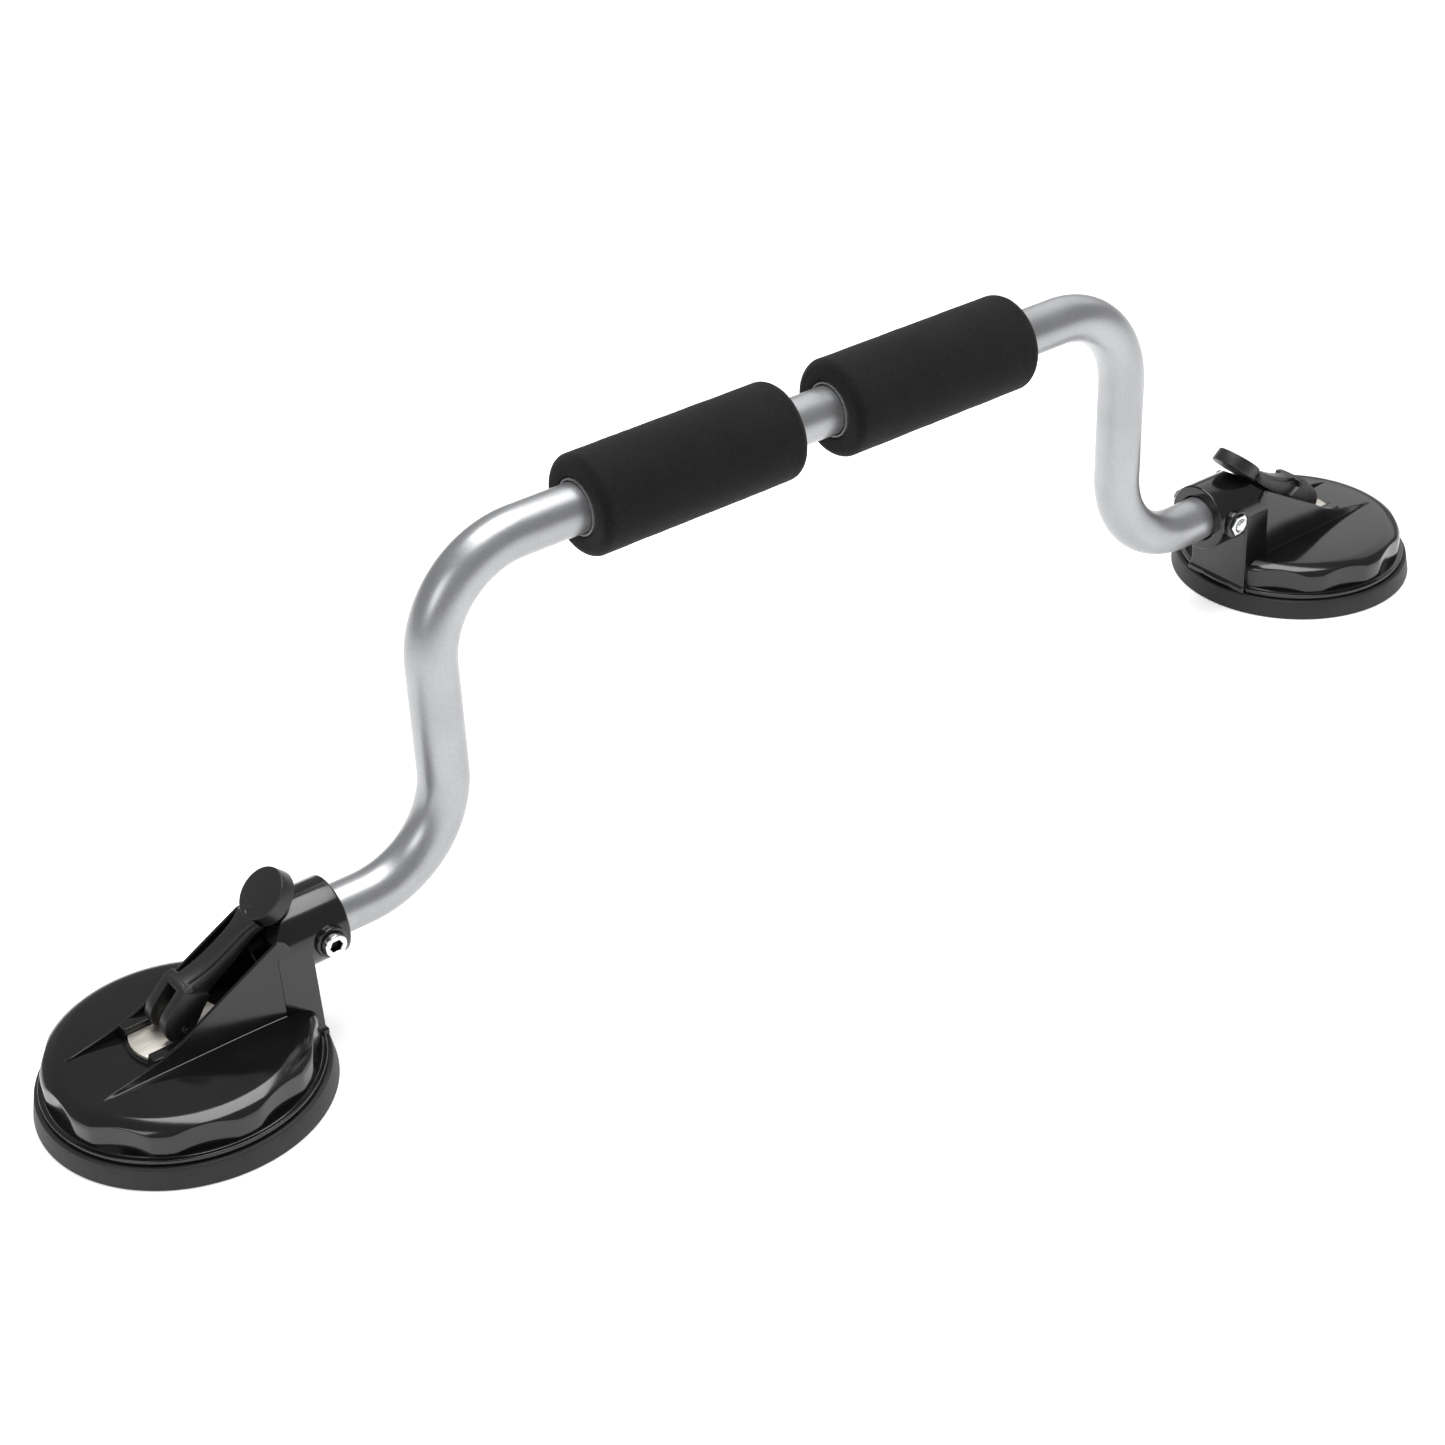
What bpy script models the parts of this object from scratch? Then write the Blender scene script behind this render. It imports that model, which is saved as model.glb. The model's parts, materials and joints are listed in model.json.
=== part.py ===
"""Bent tube grip bar on two lever-operated suction cups, with two foam rollers on the tube.

World frame: X along the bar, Z up, origin midway between the cups on the surface they stand on.
Each cup is modelled in its own frame (u towards the middle of the bar, v across, w up) and placed by
an empty: the second cup is the first one turned half a turn about Z.
All sizes are in metres.
"""
from math import atan2, cos, hypot, pi, radians, sin, tan

import bmesh
import bpy
from mathutils import Matrix, Vector

# Driving dimensions
CUP_SPACING = 0.658            # between the two cup axes
TUBE_RADIUS = 0.011
TUBE_WALL = 0.0015
BEND_RADIUS = 0.045            # on the tube's centreline
LEG_X = 0.195                  # centreline of each upright leg
BAR_RISE = 0.139               # from the collar axis to the top run
COLLAR_AXIS_Z = 0.0527

FOAM_RADIUS = 0.0223
FOAM_LENGTH = 0.106
FOAM_EDGE = 0.004
ROLLER_GAP = 0.028             # bare tube between the two rollers
LINER_WALL = 0.001
LINER_PROUD = 0.0004           # the liner shows this much past each foam end

PAD_RADIUS = 0.0615
PAD_TAPER = 0.0015              # how much narrower the rim is at the top
PAD_RIM_HEIGHT = 0.0097
PAD_RECESS = 0.001
PAD_WEB = 0.003
PAD_SPIGOT_HEIGHT = 0.0035
PAD_EDGE = 0.0012
PAD_LIP_SLOPE = 0.002          # between the recess and the flat ring that seals

FLANGE_STEP = 0.0035           # rubber showing outside the housing's flange
FLANGE_THICKNESS = 0.0024
LOBE_STEP = 0.0022             # flange showing outside the lobes of the wall
SCALLOPS = 10
SCALLOP_DEPTH = 0.0019
LOBE_HALF_ANGLE = radians(4.5)
WALL_TOP_DROP = 0.0083         # from the crown down to where the wall starts to round over
CROWN_Z = 0.0288               # flat top of the housing
SHOULDER_WIDTH = 0.0068
SHOULDER_DROP = 0.0023
CROWN_RADIUS = 0.021
CUP_WALL = 0.0049              # at the hollows of the wall
ROOF = 0.0038
ROOF_CURVE = ((0.0, 0.0075), (0.003, 0.0035), (0.009, 0.001), (0.020, 0.0))
SPIGOT_WALL = 0.0027

COLLAR_WALL = 0.0054
COLLAR_CLEARANCE = 0.0006
COLLAR_START = 0.0402
COLLAR_MOUTH = 0.074
COLLAR_FLOOR = 0.0455          # where the bore stops
COLLAR_RECESS = 0.0036         # blind recess in the collar's outboard end
COLUMN_INBOARD = 0.002         # column face to the flange's edge
COLUMN_DRAFT = 0.0012          # widening of the column towards its foot
COLUMN_SHY = 0.0002            # column sides kept just inside the collar's widest line

FIN_WALL = 0.0015
FIN_DRAFT = 0.0004             # how much thicker the fin's foot is than its crest
FIN_FLARE = 0.0008             # and how much more where the fin meets the column
FIN_TIP_U = -0.041
FIN_TIP_DROP = 0.0019
FIN_BEND_U = -0.004
FIN_BEND_RISE = 0.0022         # crest above the lever pin, where it starts to climb
FIN_TOP_RISE = 0.0097          # end of the crest above the collar axis
FOOT_SINK = 0.003              # how far the fins and rails run down into the crown
RAIL_TOP_Z = 0.0335
RAIL_REACH = 0.019
RAIL_WIDTH = 0.0052
RAIL_LEAN = 0.0015

PLATE_RADIUS = 0.0195
PLATE_THICKNESS = 0.0017
PLATE_MARGIN = 0.001           # plate showing on each side of the lever's fork

STUD_RADIUS = 0.004
STUD_EYE_RADIUS = 0.005
STUD_SHOULDER_RADIUS = 0.007
STUD_SHOULDER = 0.002
LIFT_PLATE_RADIUS = 0.026
LIFT_PLATE = 0.002
LEVER_THROW = radians(135.0)
STUD_STROKE = 0.0065

PIN_RADIUS = 0.0015
PIN_OVER_PLATE = 0.0045        # pin axis above the wear plate, lever up
FORK_WIDTH = 0.017
FORK_SLOT = 0.007
STEM_WIDTH = 0.011
SPINE_WIDTH = 0.008
SPINE_PROUD = 0.0014
HEEL = (0.0130, 0.0113)        # corner of the fork under the stem, from the pin
PLATEAU_RUN = 0.0021
KNOB_RADIUS = 0.0115
KNOB_FLARE = 0.0005            # the back of the knob is this much wider
KNOB_THICKNESS = 0.007
KNOB_TILT = radians(41.4)
KNOB_REACH = (0.0449, 0.0412)  # centre of the knob's face from the pin
KNOB_CLEAR = 0.0018            # from the back of the knob to the collar

SCREW_U = 0.064
SCREW_RADIUS = 0.003
SCREW_HEAD_RADIUS = 0.005
SCREW_HEAD = 0.006
SCREW_HEX = 0.005              # across flats
SCREW_PROUD = 0.0033           # head standing out of its boss
NUT_FLATS = 0.010
NUT_THICKNESS = 0.005
NUT_PROUD = 0.0016
THREAD_PROUD = 0.001
BOSS_WALL = 0.0014
BOSS_PROUD = 0.0017            # boss end past the side of the collar

GAP = 0.0003                   # between pieces that touch
HOLE_CLEARANCE = 0.0003
SLIDE_CLEARANCE = 0.0005
OVERSHOOT = 0.002              # cutters run past the faces they open

# Sizes that follow
FLANGE_Z = PAD_RIM_HEIGHT + GAP
FLANGE_TOP_Z = FLANGE_Z + FLANGE_THICKNESS
FLANGE_RADIUS = PAD_RADIUS - FLANGE_STEP
LOBE_RADIUS = FLANGE_RADIUS - LOBE_STEP
SHOULDER_RADIUS = LOBE_RADIUS - SHOULDER_WIDTH
CAVITY_RADIUS = LOBE_RADIUS - SCALLOP_DEPTH - CUP_WALL
SPIGOT_RADIUS = CAVITY_RADIUS - GAP
PAD_LIP_RADIUS = SPIGOT_RADIUS - SPIGOT_WALL
COLLAR_BORE = TUBE_RADIUS + COLLAR_CLEARANCE
COLLAR_RADIUS = COLLAR_BORE + COLLAR_WALL
COLUMN_FACE = FLANGE_RADIUS - COLUMN_INBOARD
TUBE_END = COLLAR_FLOOR + GAP
CUP_X = CUP_SPACING / 2
TOP_Z = COLLAR_AXIS_Z + BAR_RISE
LINER_BORE = TUBE_RADIUS + SLIDE_CLEARANCE
LINER_RADIUS = LINER_BORE + LINER_WALL
PLATE_Z = CROWN_Z + GAP
PLATE_TOP_Z = PLATE_Z + PLATE_THICKNESS
PIN_Z = PLATE_TOP_Z + PIN_OVER_PLATE
PLATE_HALF_WIDTH = FORK_WIDTH / 2 + PLATE_MARGIN
RAIL_INNER = PLATE_HALF_WIDTH + GAP
FIN_INNER = RAIL_INNER + RAIL_WIDTH
STUD_HOLE = STUD_RADIUS + SLIDE_CLEARANCE
LIFT_PLATE_Z = PAD_RECESS + PAD_WEB + GAP
SHOULDER_Z = LIFT_PLATE_Z + LIFT_PLATE + GAP
EYE_WIDTH = FORK_SLOT - 2 * HOLE_CLEARANCE
CAM_BASE = PIN_OVER_PLATE - GAP
CAM_RATE = STUD_STROKE / LEVER_THROW
BOSS_END = COLLAR_RADIUS + BOSS_PROUD
SCREW_FACE = BOSS_END + SCREW_PROUD
SCREW_SEAT = SCREW_FACE - SCREW_HEAD
NUT_FACE = BOSS_END + NUT_PROUD
NUT_SEAT = NUT_FACE - NUT_THICKNESS
BOSS_RADIUS = NUT_FLATS / 2 / cos(pi / 6) + HOLE_CLEARANCE + BOSS_WALL

MATERIALS = {
    "silver_paint": ((0.52, 0.53, 0.55, 1), 0.35, 0.6),
    "black_foam": ((0.02, 0.02, 0.02, 1), 0.95, 0.0),
    "grey_liner": ((0.10, 0.10, 0.11, 1), 0.5, 0.0),
    "gloss_abs": ((0.012, 0.012, 0.013, 1), 0.15, 0.0),
    "matte_nylon": ((0.02, 0.02, 0.02, 1), 0.45, 0.0),
    "black_rubber": ((0.025, 0.025, 0.025, 1), 0.7, 0.0),
    "zinc_steel": ((0.75, 0.74, 0.72, 1), 0.3, 1.0),
    "chrome": ((0.8, 0.8, 0.8, 1), 0.12, 1.0),
}


def clear_scene():
    for item in list(bpy.data.objects):
        bpy.data.objects.remove(item, do_unlink=True)


def material(name):
    found = bpy.data.materials.get(name)
    if found:
        return found
    made = bpy.data.materials.new(name)
    made.use_nodes = True
    colour, roughness, metallic = MATERIALS[name]
    shader = made.node_tree.nodes["Principled BSDF"]
    shader.inputs["Base Color"].default_value = colour
    shader.inputs["Roughness"].default_value = roughness
    shader.inputs["Metallic"].default_value = metallic
    return made


def mesh_from(bm, name):
    bmesh.ops.remove_doubles(bm, verts=bm.verts, dist=1e-6)
    bmesh.ops.recalc_face_normals(bm, faces=bm.faces)
    mesh = bpy.data.meshes.new(name)
    bm.to_mesh(mesh)
    bm.free()
    return mesh


def loft(rings, name, closed=False):
    """Closed solid through equal rings of points; the ends are capped unless the loft closes on itself."""
    bm = bmesh.new()
    loops = [[bm.verts.new(point) for point in ring] for ring in rings]
    pairs = list(zip(loops, loops[1:]))
    if closed:
        pairs.append((loops[-1], loops[0]))
    for low, high in pairs:
        for i in range(len(low)):
            j = (i + 1) % len(low)
            bm.faces.new((low[i], low[j], high[j], high[i]))
    if not closed:
        bm.faces.new(list(reversed(loops[0])))
        bm.faces.new(loops[-1])
    return mesh_from(bm, name)


def circle(radius, z, sides, turn=0.0):
    steps = [turn + 2 * pi * i / sides for i in range(sides)]
    return [Vector((radius * cos(a), radius * sin(a), z)) for a in steps]


def turned(profile, sides, name, closed=False):
    """Solid of revolution about Z through (radius, z) points."""
    return loft([circle(radius, z, sides) for radius, z in profile], name, closed)


def rod(radius, start, end, sides, name, turn=0.0):
    """Straight prism or cylinder between two points."""
    start = Vector(start)
    end = Vector(end)
    axis = end - start
    frame = axis.to_track_quat("Z", "Y").to_matrix().to_4x4()
    frame.translation = start
    rings = []
    for height in (0.0, axis.length):
        rings.append([frame @ point for point in circle(radius, height, sides, turn)])
    return loft(rings, name)


def plate_of(outline, v_low, v_high, name):
    """Outline in (u, w) extruded across v."""
    rings = []
    for v in (v_low, v_high):
        rings.append([Vector((u, v, w)) for u, w in outline])
    return loft(rings, name)


def box(low, high, name):
    outline = [(low[0], low[2]), (high[0], low[2]), (high[0], high[2]), (low[0], high[2])]
    return plate_of(outline, low[1], high[1], name)


def arc(centre, radius, start, end, steps):
    """Points on an arc; angles in degrees."""
    turns = [radians(start + (end - start) * i / steps) for i in range(steps + 1)]
    return [(centre[0] + radius * cos(a), centre[1] + radius * sin(a)) for a in turns]


def bezier(points, steps):
    curve = []
    for i in range(steps + 1):
        t = i / steps
        weights = ((1 - t) ** 3, 3 * t * (1 - t) ** 2, 3 * t * t * (1 - t), t ** 3)
        curve.append(tuple(sum(w * p[k] for w, p in zip(weights, points)) for k in (0, 1)))
    return curve


def combine(base, pieces):
    """Union or cut a mesh with other meshes, in order, and return the resulting mesh."""
    host = bpy.data.objects.new("host", base)
    bpy.context.scene.collection.objects.link(host)
    helpers = []
    for operation, mesh in pieces:
        helper = bpy.data.objects.new("helper", mesh)
        bpy.context.scene.collection.objects.link(helper)
        helpers.append(helper)
        step = host.modifiers.new("step", "BOOLEAN")
        step.operation = operation
        step.solver = "EXACT"
        step.object = helper
    graph = bpy.context.evaluated_depsgraph_get()
    result = bpy.data.meshes.new_from_object(host.evaluated_get(graph))
    for item in helpers + [host]:
        bpy.data.objects.remove(item, do_unlink=True)
    return result


def finish_mesh(mesh, material_name, sharp_angle=35.0):
    mesh.materials.clear()
    mesh.materials.append(material(material_name))
    mesh.shade_smooth()
    mesh.set_sharp_from_angle(angle=radians(sharp_angle))
    return mesh


def place(name, mesh, parent=None, location=(0, 0, 0)):
    item = bpy.data.objects.new(name, mesh)
    item.location = location
    item.parent = parent
    bpy.context.scene.collection.objects.link(item)
    return item


# Bar and rollers

def tube_route():
    """Centreline points of the bent tube, in the XZ plane, from end to end."""
    half = []
    half.append((CUP_X - TUBE_END, COLLAR_AXIS_Z))
    foot = (LEG_X + BEND_RADIUS, COLLAR_AXIS_Z + BEND_RADIUS)
    half.extend(arc(foot, BEND_RADIUS, 270, 180, 6))
    crown = (LEG_X - BEND_RADIUS, TOP_Z - BEND_RADIUS)
    half.extend(arc(crown, BEND_RADIUS, 0, 90, 6))
    return half + [(-x, z) for x, z in reversed(half)]


def bar_tube():
    route = [Vector((x, 0, z)) for x, z in tube_route()]
    sides = 20
    outer = []
    inner = []
    for i, point in enumerate(route):
        before = route[max(i - 1, 0)]
        after = route[min(i + 1, len(route) - 1)]
        into = (point - before).normalized() if i else (after - point).normalized()
        out = (after - point).normalized() if i < len(route) - 1 else into
        normal_in_plane = (into + out).normalized().cross(Vector((0, 1, 0)))
        stretch = 1 / cos(into.angle(out) / 2)
        for radius, rings in ((TUBE_RADIUS, outer), (TUBE_RADIUS - TUBE_WALL, inner)):
            ring = []
            for k in range(sides):
                a = 2 * pi * k / sides
                across = Vector((0, radius * cos(a), 0))
                ring.append(point + across + normal_in_plane * radius * sin(a) * stretch)
            rings.append(ring)
    shell = loft(outer + inner[::-1], "bar_tube", closed=True)
    holes = []
    for side in (-1, 1):
        x = side * (CUP_X - SCREW_U)
        near = (x, -BOSS_END, COLLAR_AXIS_Z)
        drill = rod(SCREW_RADIUS + HOLE_CLEARANCE, near, (x, BOSS_END, COLLAR_AXIS_Z), 16, "drill")
        holes.append(("DIFFERENCE", drill))
    return finish_mesh(combine(shell, holes), "silver_paint")


def along_x(mesh):
    mesh.transform(Matrix.Rotation(pi / 2, 4, "Y"))
    return mesh


def foam_sleeve():
    half = FOAM_LENGTH / 2
    inner = LINER_RADIUS + GAP
    profile = [(inner, -half)]
    profile.extend((r, z) for r, z in arc((FOAM_RADIUS - FOAM_EDGE, FOAM_EDGE - half), FOAM_EDGE, -90, 0, 3))
    profile.extend((r, z) for r, z in arc((FOAM_RADIUS - FOAM_EDGE, half - FOAM_EDGE), FOAM_EDGE, 0, 90, 3))
    profile.append((inner, half))
    return finish_mesh(along_x(turned(profile, 32, "foam", closed=True)), "black_foam")


def sleeve_liner():
    half = FOAM_LENGTH / 2 + LINER_PROUD
    profile = [(LINER_BORE, -half), (LINER_RADIUS, -half), (LINER_RADIUS, half), (LINER_BORE, half)]
    return finish_mesh(along_x(turned(profile, 32, "liner", closed=True)), "grey_liner")


# One suction cup

def scalloped(radius, z, sides):
    """Ring that keeps the smaller of a circle and a wall with a shallow hollow between each two lobes."""
    ring = []
    pitch = 2 * pi / SCALLOPS
    edge = pitch / 2 - LOBE_HALF_ANGLE
    for i in range(sides):
        a = 2 * pi * i / sides
        off = (a + pitch / 2) % pitch - pitch / 2
        hollow = SCALLOP_DEPTH * cos(pi / 2 * off / edge) if abs(off) < edge else 0.0
        r = min(radius, LOBE_RADIUS - hollow)
        ring.append(Vector((r * cos(a), r * sin(a), z)))
    return ring


def dome():
    sides = SCALLOPS * 8
    rings = [circle(FLANGE_RADIUS, FLANGE_Z, sides), circle(FLANGE_RADIUS, FLANGE_TOP_Z, sides)]
    wall_top = CROWN_Z - WALL_TOP_DROP
    shoulder_z = CROWN_Z - SHOULDER_DROP
    side = bezier([(LOBE_RADIUS, wall_top), (LOBE_RADIUS, wall_top + 0.7 * (shoulder_z - wall_top)),
                   (SHOULDER_RADIUS + 0.65 * SHOULDER_WIDTH, shoulder_z - 0.25 * SHOULDER_DROP),
                   (SHOULDER_RADIUS, shoulder_z)], 5)
    rings.append(scalloped(LOBE_RADIUS, FLANGE_TOP_Z, sides))
    rings.extend(scalloped(radius, z, sides) for radius, z in side)
    rings.append(circle((SHOULDER_RADIUS * 2 + CROWN_RADIUS) / 3, CROWN_Z - SHOULDER_DROP * 0.5, sides))
    rings.append(circle(CROWN_RADIUS, CROWN_Z, sides))
    return loft(rings, "dome")


def cavity():
    profile = [(CAVITY_RADIUS, FLANGE_Z - OVERSHOOT)]
    profile.extend((CAVITY_RADIUS - inset, CROWN_Z - ROOF - drop) for inset, drop in ROOF_CURVE)
    return turned(profile, 36, "cavity")


def fin_crest():
    """Top edge of a fin from the tip on the shoulder up to the collar, as (u, w)."""
    tip = (FIN_TIP_U, CROWN_Z - FIN_TIP_DROP)
    bend = (FIN_BEND_U, PIN_Z + FIN_BEND_RISE)
    top = (COLLAR_START + OVERSHOOT, COLLAR_AXIS_Z + FIN_TOP_RISE)
    gentle = bezier([tip, (tip[0] + 0.015, tip[1] + 0.0032), (bend[0] - 0.011, bend[1] - 0.0056), bend], 4)
    steep = bezier([bend, (bend[0] + 0.010, bend[1] + 0.0062), (top[0] - 0.0154, top[1] - 0.0078), top], 4)
    return gentle + steep[1:]


def fin(side):
    foot = CROWN_Z - FOOT_SINK
    sections = []
    crest = fin_crest()
    run = crest[-1][0] - crest[0][0]
    for u, w in crest:
        share = (u - crest[0][0]) / run
        outer_top = FIN_INNER + FIN_WALL
        outer_foot = outer_top + FIN_DRAFT + FIN_FLARE * share
        sections.append([Vector((u, side * v, z)) for v, z in
                         ((FIN_INNER, foot), (outer_foot, foot), (outer_top, w), (FIN_INNER, w))])
    return loft(sections, "fin")


def rail(side):
    low = CROWN_Z - FOOT_SINK
    outline = [(-RAIL_REACH, low), (RAIL_REACH, low), (RAIL_REACH, RAIL_TOP_Z)]
    outline.append((-RAIL_REACH + RAIL_LEAN, RAIL_TOP_Z))
    near, far = sorted((side * RAIL_INNER, side * (FIN_INNER + FIN_WALL / 2)))
    return plate_of(outline, near, far, "rail")


def column():
    sections = []
    top = COLLAR_AXIS_Z
    low = FLANGE_Z + GAP
    for w, half in ((low, COLLAR_RADIUS + COLUMN_DRAFT), (top, COLLAR_RADIUS - COLUMN_SHY)):
        corners = ((COLLAR_START, -half), (COLUMN_FACE, -half), (COLUMN_FACE, half), (COLLAR_START, half))
        sections.append([Vector((u, v, w)) for u, v in corners])
    return loft(sections, "column")


def knob_back_cut():
    """Wedge that slopes the collar's outboard end to clear the back of the knob."""
    slope = tan(KNOB_TILT)
    back_u = KNOB_REACH[0] + (KNOB_THICKNESS + KNOB_CLEAR) * sin(KNOB_TILT)
    back_w = PIN_Z + KNOB_REACH[1] - (KNOB_THICKNESS + KNOB_CLEAR) * cos(KNOB_TILT)
    low_u = COLLAR_START - OVERSHOOT
    high_u = COLLAR_MOUTH
    low_w = back_w + (low_u - back_u) * slope
    high_w = back_w + (high_u - back_u) * slope
    half = FIN_INNER
    return plate_of([(low_u, low_w), (high_u, high_w), (low_u, high_w)], -half, half, "wedge")


def cup_housing():
    collar = rod(COLLAR_RADIUS, (COLLAR_START, 0, COLLAR_AXIS_Z), (COLLAR_MOUTH, 0, COLLAR_AXIS_Z), 40,
                 "collar")
    bore = rod(COLLAR_BORE, (COLLAR_FLOOR, 0, COLLAR_AXIS_Z), (COLLAR_MOUTH + OVERSHOOT, 0, COLLAR_AXIS_Z),
               28, "bore")
    recess = rod(COLLAR_BORE, (COLLAR_START - OVERSHOOT, 0, COLLAR_AXIS_Z),
                 (COLLAR_START + COLLAR_RECESS, 0, COLLAR_AXIS_Z), 28, "recess")
    boss = rod(BOSS_RADIUS, (SCREW_U, -BOSS_END, COLLAR_AXIS_Z), (SCREW_U, BOSS_END, COLLAR_AXIS_Z), 24,
               "boss")
    drill = rod(SCREW_RADIUS + HOLE_CLEARANCE, (SCREW_U, -BOSS_END - OVERSHOOT, COLLAR_AXIS_Z),
                (SCREW_U, BOSS_END + OVERSHOOT, COLLAR_AXIS_Z), 16, "drill")
    counterbore = rod(SCREW_HEAD_RADIUS + HOLE_CLEARANCE, (SCREW_U, -SCREW_SEAT + GAP, COLLAR_AXIS_Z),
                      (SCREW_U, -BOSS_END - OVERSHOOT, COLLAR_AXIS_Z), 24, "counterbore")
    hex_radius = NUT_FLATS / 2 / cos(pi / 6) + HOLE_CLEARANCE
    pocket = rod(hex_radius, (SCREW_U, NUT_SEAT - GAP, COLLAR_AXIS_Z),
                 (SCREW_U, BOSS_END + OVERSHOOT, COLLAR_AXIS_Z), 6, "pocket")
    stud_hole = rod(STUD_HOLE, (0, 0, FLANGE_Z), (0, 0, PLATE_TOP_Z), 24, "stud_hole")
    mesh = combine(dome(), [
        ("UNION", column()),
        ("DIFFERENCE", cavity()),
        ("UNION", collar),
        ("DIFFERENCE", knob_back_cut()),
        ("UNION", fin(-1)),
        ("UNION", fin(1)),
        ("UNION", rail(-1)),
        ("UNION", rail(1)),
        ("UNION", boss),
        ("DIFFERENCE", recess),
        ("DIFFERENCE", bore),
        ("DIFFERENCE", drill),
        ("DIFFERENCE", counterbore),
        ("DIFFERENCE", pocket),
        ("DIFFERENCE", stud_hole),
    ])
    return finish_mesh(mesh, "gloss_abs", 30.0)


def suction_pad():
    top = PAD_RADIUS - PAD_TAPER
    web_top = PAD_RECESS + PAD_WEB
    spigot_top = PAD_RIM_HEIGHT + PAD_SPIGOT_HEIGHT
    profile = [(PAD_LIP_RADIUS - PAD_LIP_SLOPE, PAD_RECESS), (PAD_LIP_RADIUS, 0),
               (PAD_RADIUS - PAD_EDGE, 0), (PAD_RADIUS, PAD_EDGE),
               (top, PAD_RIM_HEIGHT - PAD_EDGE), (top - PAD_EDGE, PAD_RIM_HEIGHT),
               (SPIGOT_RADIUS, PAD_RIM_HEIGHT), (SPIGOT_RADIUS, spigot_top),
               (PAD_LIP_RADIUS, spigot_top), (PAD_LIP_RADIUS, web_top)]
    return finish_mesh(turned(profile, 48, "pad"), "black_rubber")


def wear_plate():
    side = PLATE_HALF_WIDTH
    corner = atan2(side, (PLATE_RADIUS ** 2 - side ** 2) ** 0.5) * 180 / pi
    outline = arc((0, 0), PLATE_RADIUS, -corner, corner, 8)
    outline.extend(arc((0, 0), PLATE_RADIUS, 180 - corner, 180 + corner, 8))
    rings = [[Vector((x, y, z)) for x, y in outline] for z in (PLATE_Z, PLATE_TOP_Z)]
    hole = rod(STUD_HOLE, (0, 0, PLATE_Z - OVERSHOOT), (0, 0, PLATE_TOP_Z + OVERSHOOT), 24, "hole")
    return finish_mesh(combine(loft(rings, "plate"), [("DIFFERENCE", hole)]), "zinc_steel")


def pull_stud():
    """Stud about its pin: eye at the origin, shoulder and spigot on the lift plate below."""
    foot = LIFT_PLATE_Z - PIN_Z
    seat = SHOULDER_Z - PIN_Z
    shank = turned([(STUD_RADIUS, foot), (STUD_RADIUS, seat), (STUD_SHOULDER_RADIUS, seat),
                    (STUD_SHOULDER_RADIUS, seat + STUD_SHOULDER), (STUD_RADIUS, seat + STUD_SHOULDER),
                    (STUD_RADIUS, -0.002)], 20, "stud")
    eye = rod(STUD_EYE_RADIUS, (0, -EYE_WIDTH / 2, 0), (0, EYE_WIDTH / 2, 0), 20, "eye")
    neck_low = PLATE_Z - STUD_STROKE - PIN_Z
    wide = STUD_RADIUS + OVERSHOOT
    slab = box((-wide, EYE_WIDTH / 2, neck_low), (wide, wide + EYE_WIDTH / 2, OVERSHOOT), "slab")
    other = box((-wide, -wide - EYE_WIDTH / 2, neck_low), (wide, -EYE_WIDTH / 2, OVERSHOOT), "other")
    hole = rod(PIN_RADIUS + HOLE_CLEARANCE, (0, -wide, 0), (0, wide, 0), 16, "hole")
    mesh = combine(shank, [("DIFFERENCE", slab), ("DIFFERENCE", other), ("UNION", eye), ("DIFFERENCE", hole)])
    return finish_mesh(mesh, "zinc_steel")


def lift_plate():
    profile = [(LIFT_PLATE_RADIUS, LIFT_PLATE_Z), (LIFT_PLATE_RADIUS, LIFT_PLATE_Z + LIFT_PLATE)]
    low = (0, 0, LIFT_PLATE_Z - OVERSHOOT)
    hole = rod(STUD_RADIUS + GAP, low, (0, 0, SHOULDER_Z + OVERSHOOT), 24, "hole")
    return finish_mesh(combine(turned(profile, 32, "lift"), [("DIFFERENCE", hole)]), "zinc_steel")


def cam_point(turn):
    """Envelope of a cam whose lift grows evenly with the lever's turn, about the pin, as (u, w)."""
    lift = CAM_BASE + CAM_RATE * turn
    return (-lift * sin(turn) - CAM_RATE * cos(turn), -lift * cos(turn) + CAM_RATE * sin(turn))


def fork_outline():
    steps = 5
    cam = [cam_point(LEVER_THROW * i / steps) for i in range(steps + 1)]
    edge = 2 ** 0.5 * (CAM_BASE + STUD_STROKE)
    plateau = (PLATEAU_RUN, edge + PLATEAU_RUN)
    base = arc((0, 0), CAM_BASE, -90, -35, 3)
    return base[::-1] + cam + [plateau, HEEL]


def stem_outline(inset):
    """Side view of the stem, about the pin: a curve up to the knob and one back underneath."""
    over = bezier([(0.0028, 0.0178 - inset), (0.0150, 0.0195 - inset), (0.0262, 0.0265 - inset),
                   (0.0372, 0.0342 - inset)], 8)
    under = bezier([(0.0412, 0.0302), (0.0318, 0.0218), (0.0205, 0.0140), (0.0100, 0.0090)], 6)
    return over + under


def knob():
    rings = []
    for depth, radius in ((0.0, KNOB_RADIUS), (-KNOB_THICKNESS, KNOB_RADIUS + KNOB_FLARE)):
        rings.append(circle(radius, depth, 32))
    mesh = loft(rings, "knob")
    frame = Matrix.Rotation(-KNOB_TILT, 4, "Y")
    frame.translation = Vector((KNOB_REACH[0], 0, KNOB_REACH[1]))
    mesh.transform(frame)
    return mesh


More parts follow.
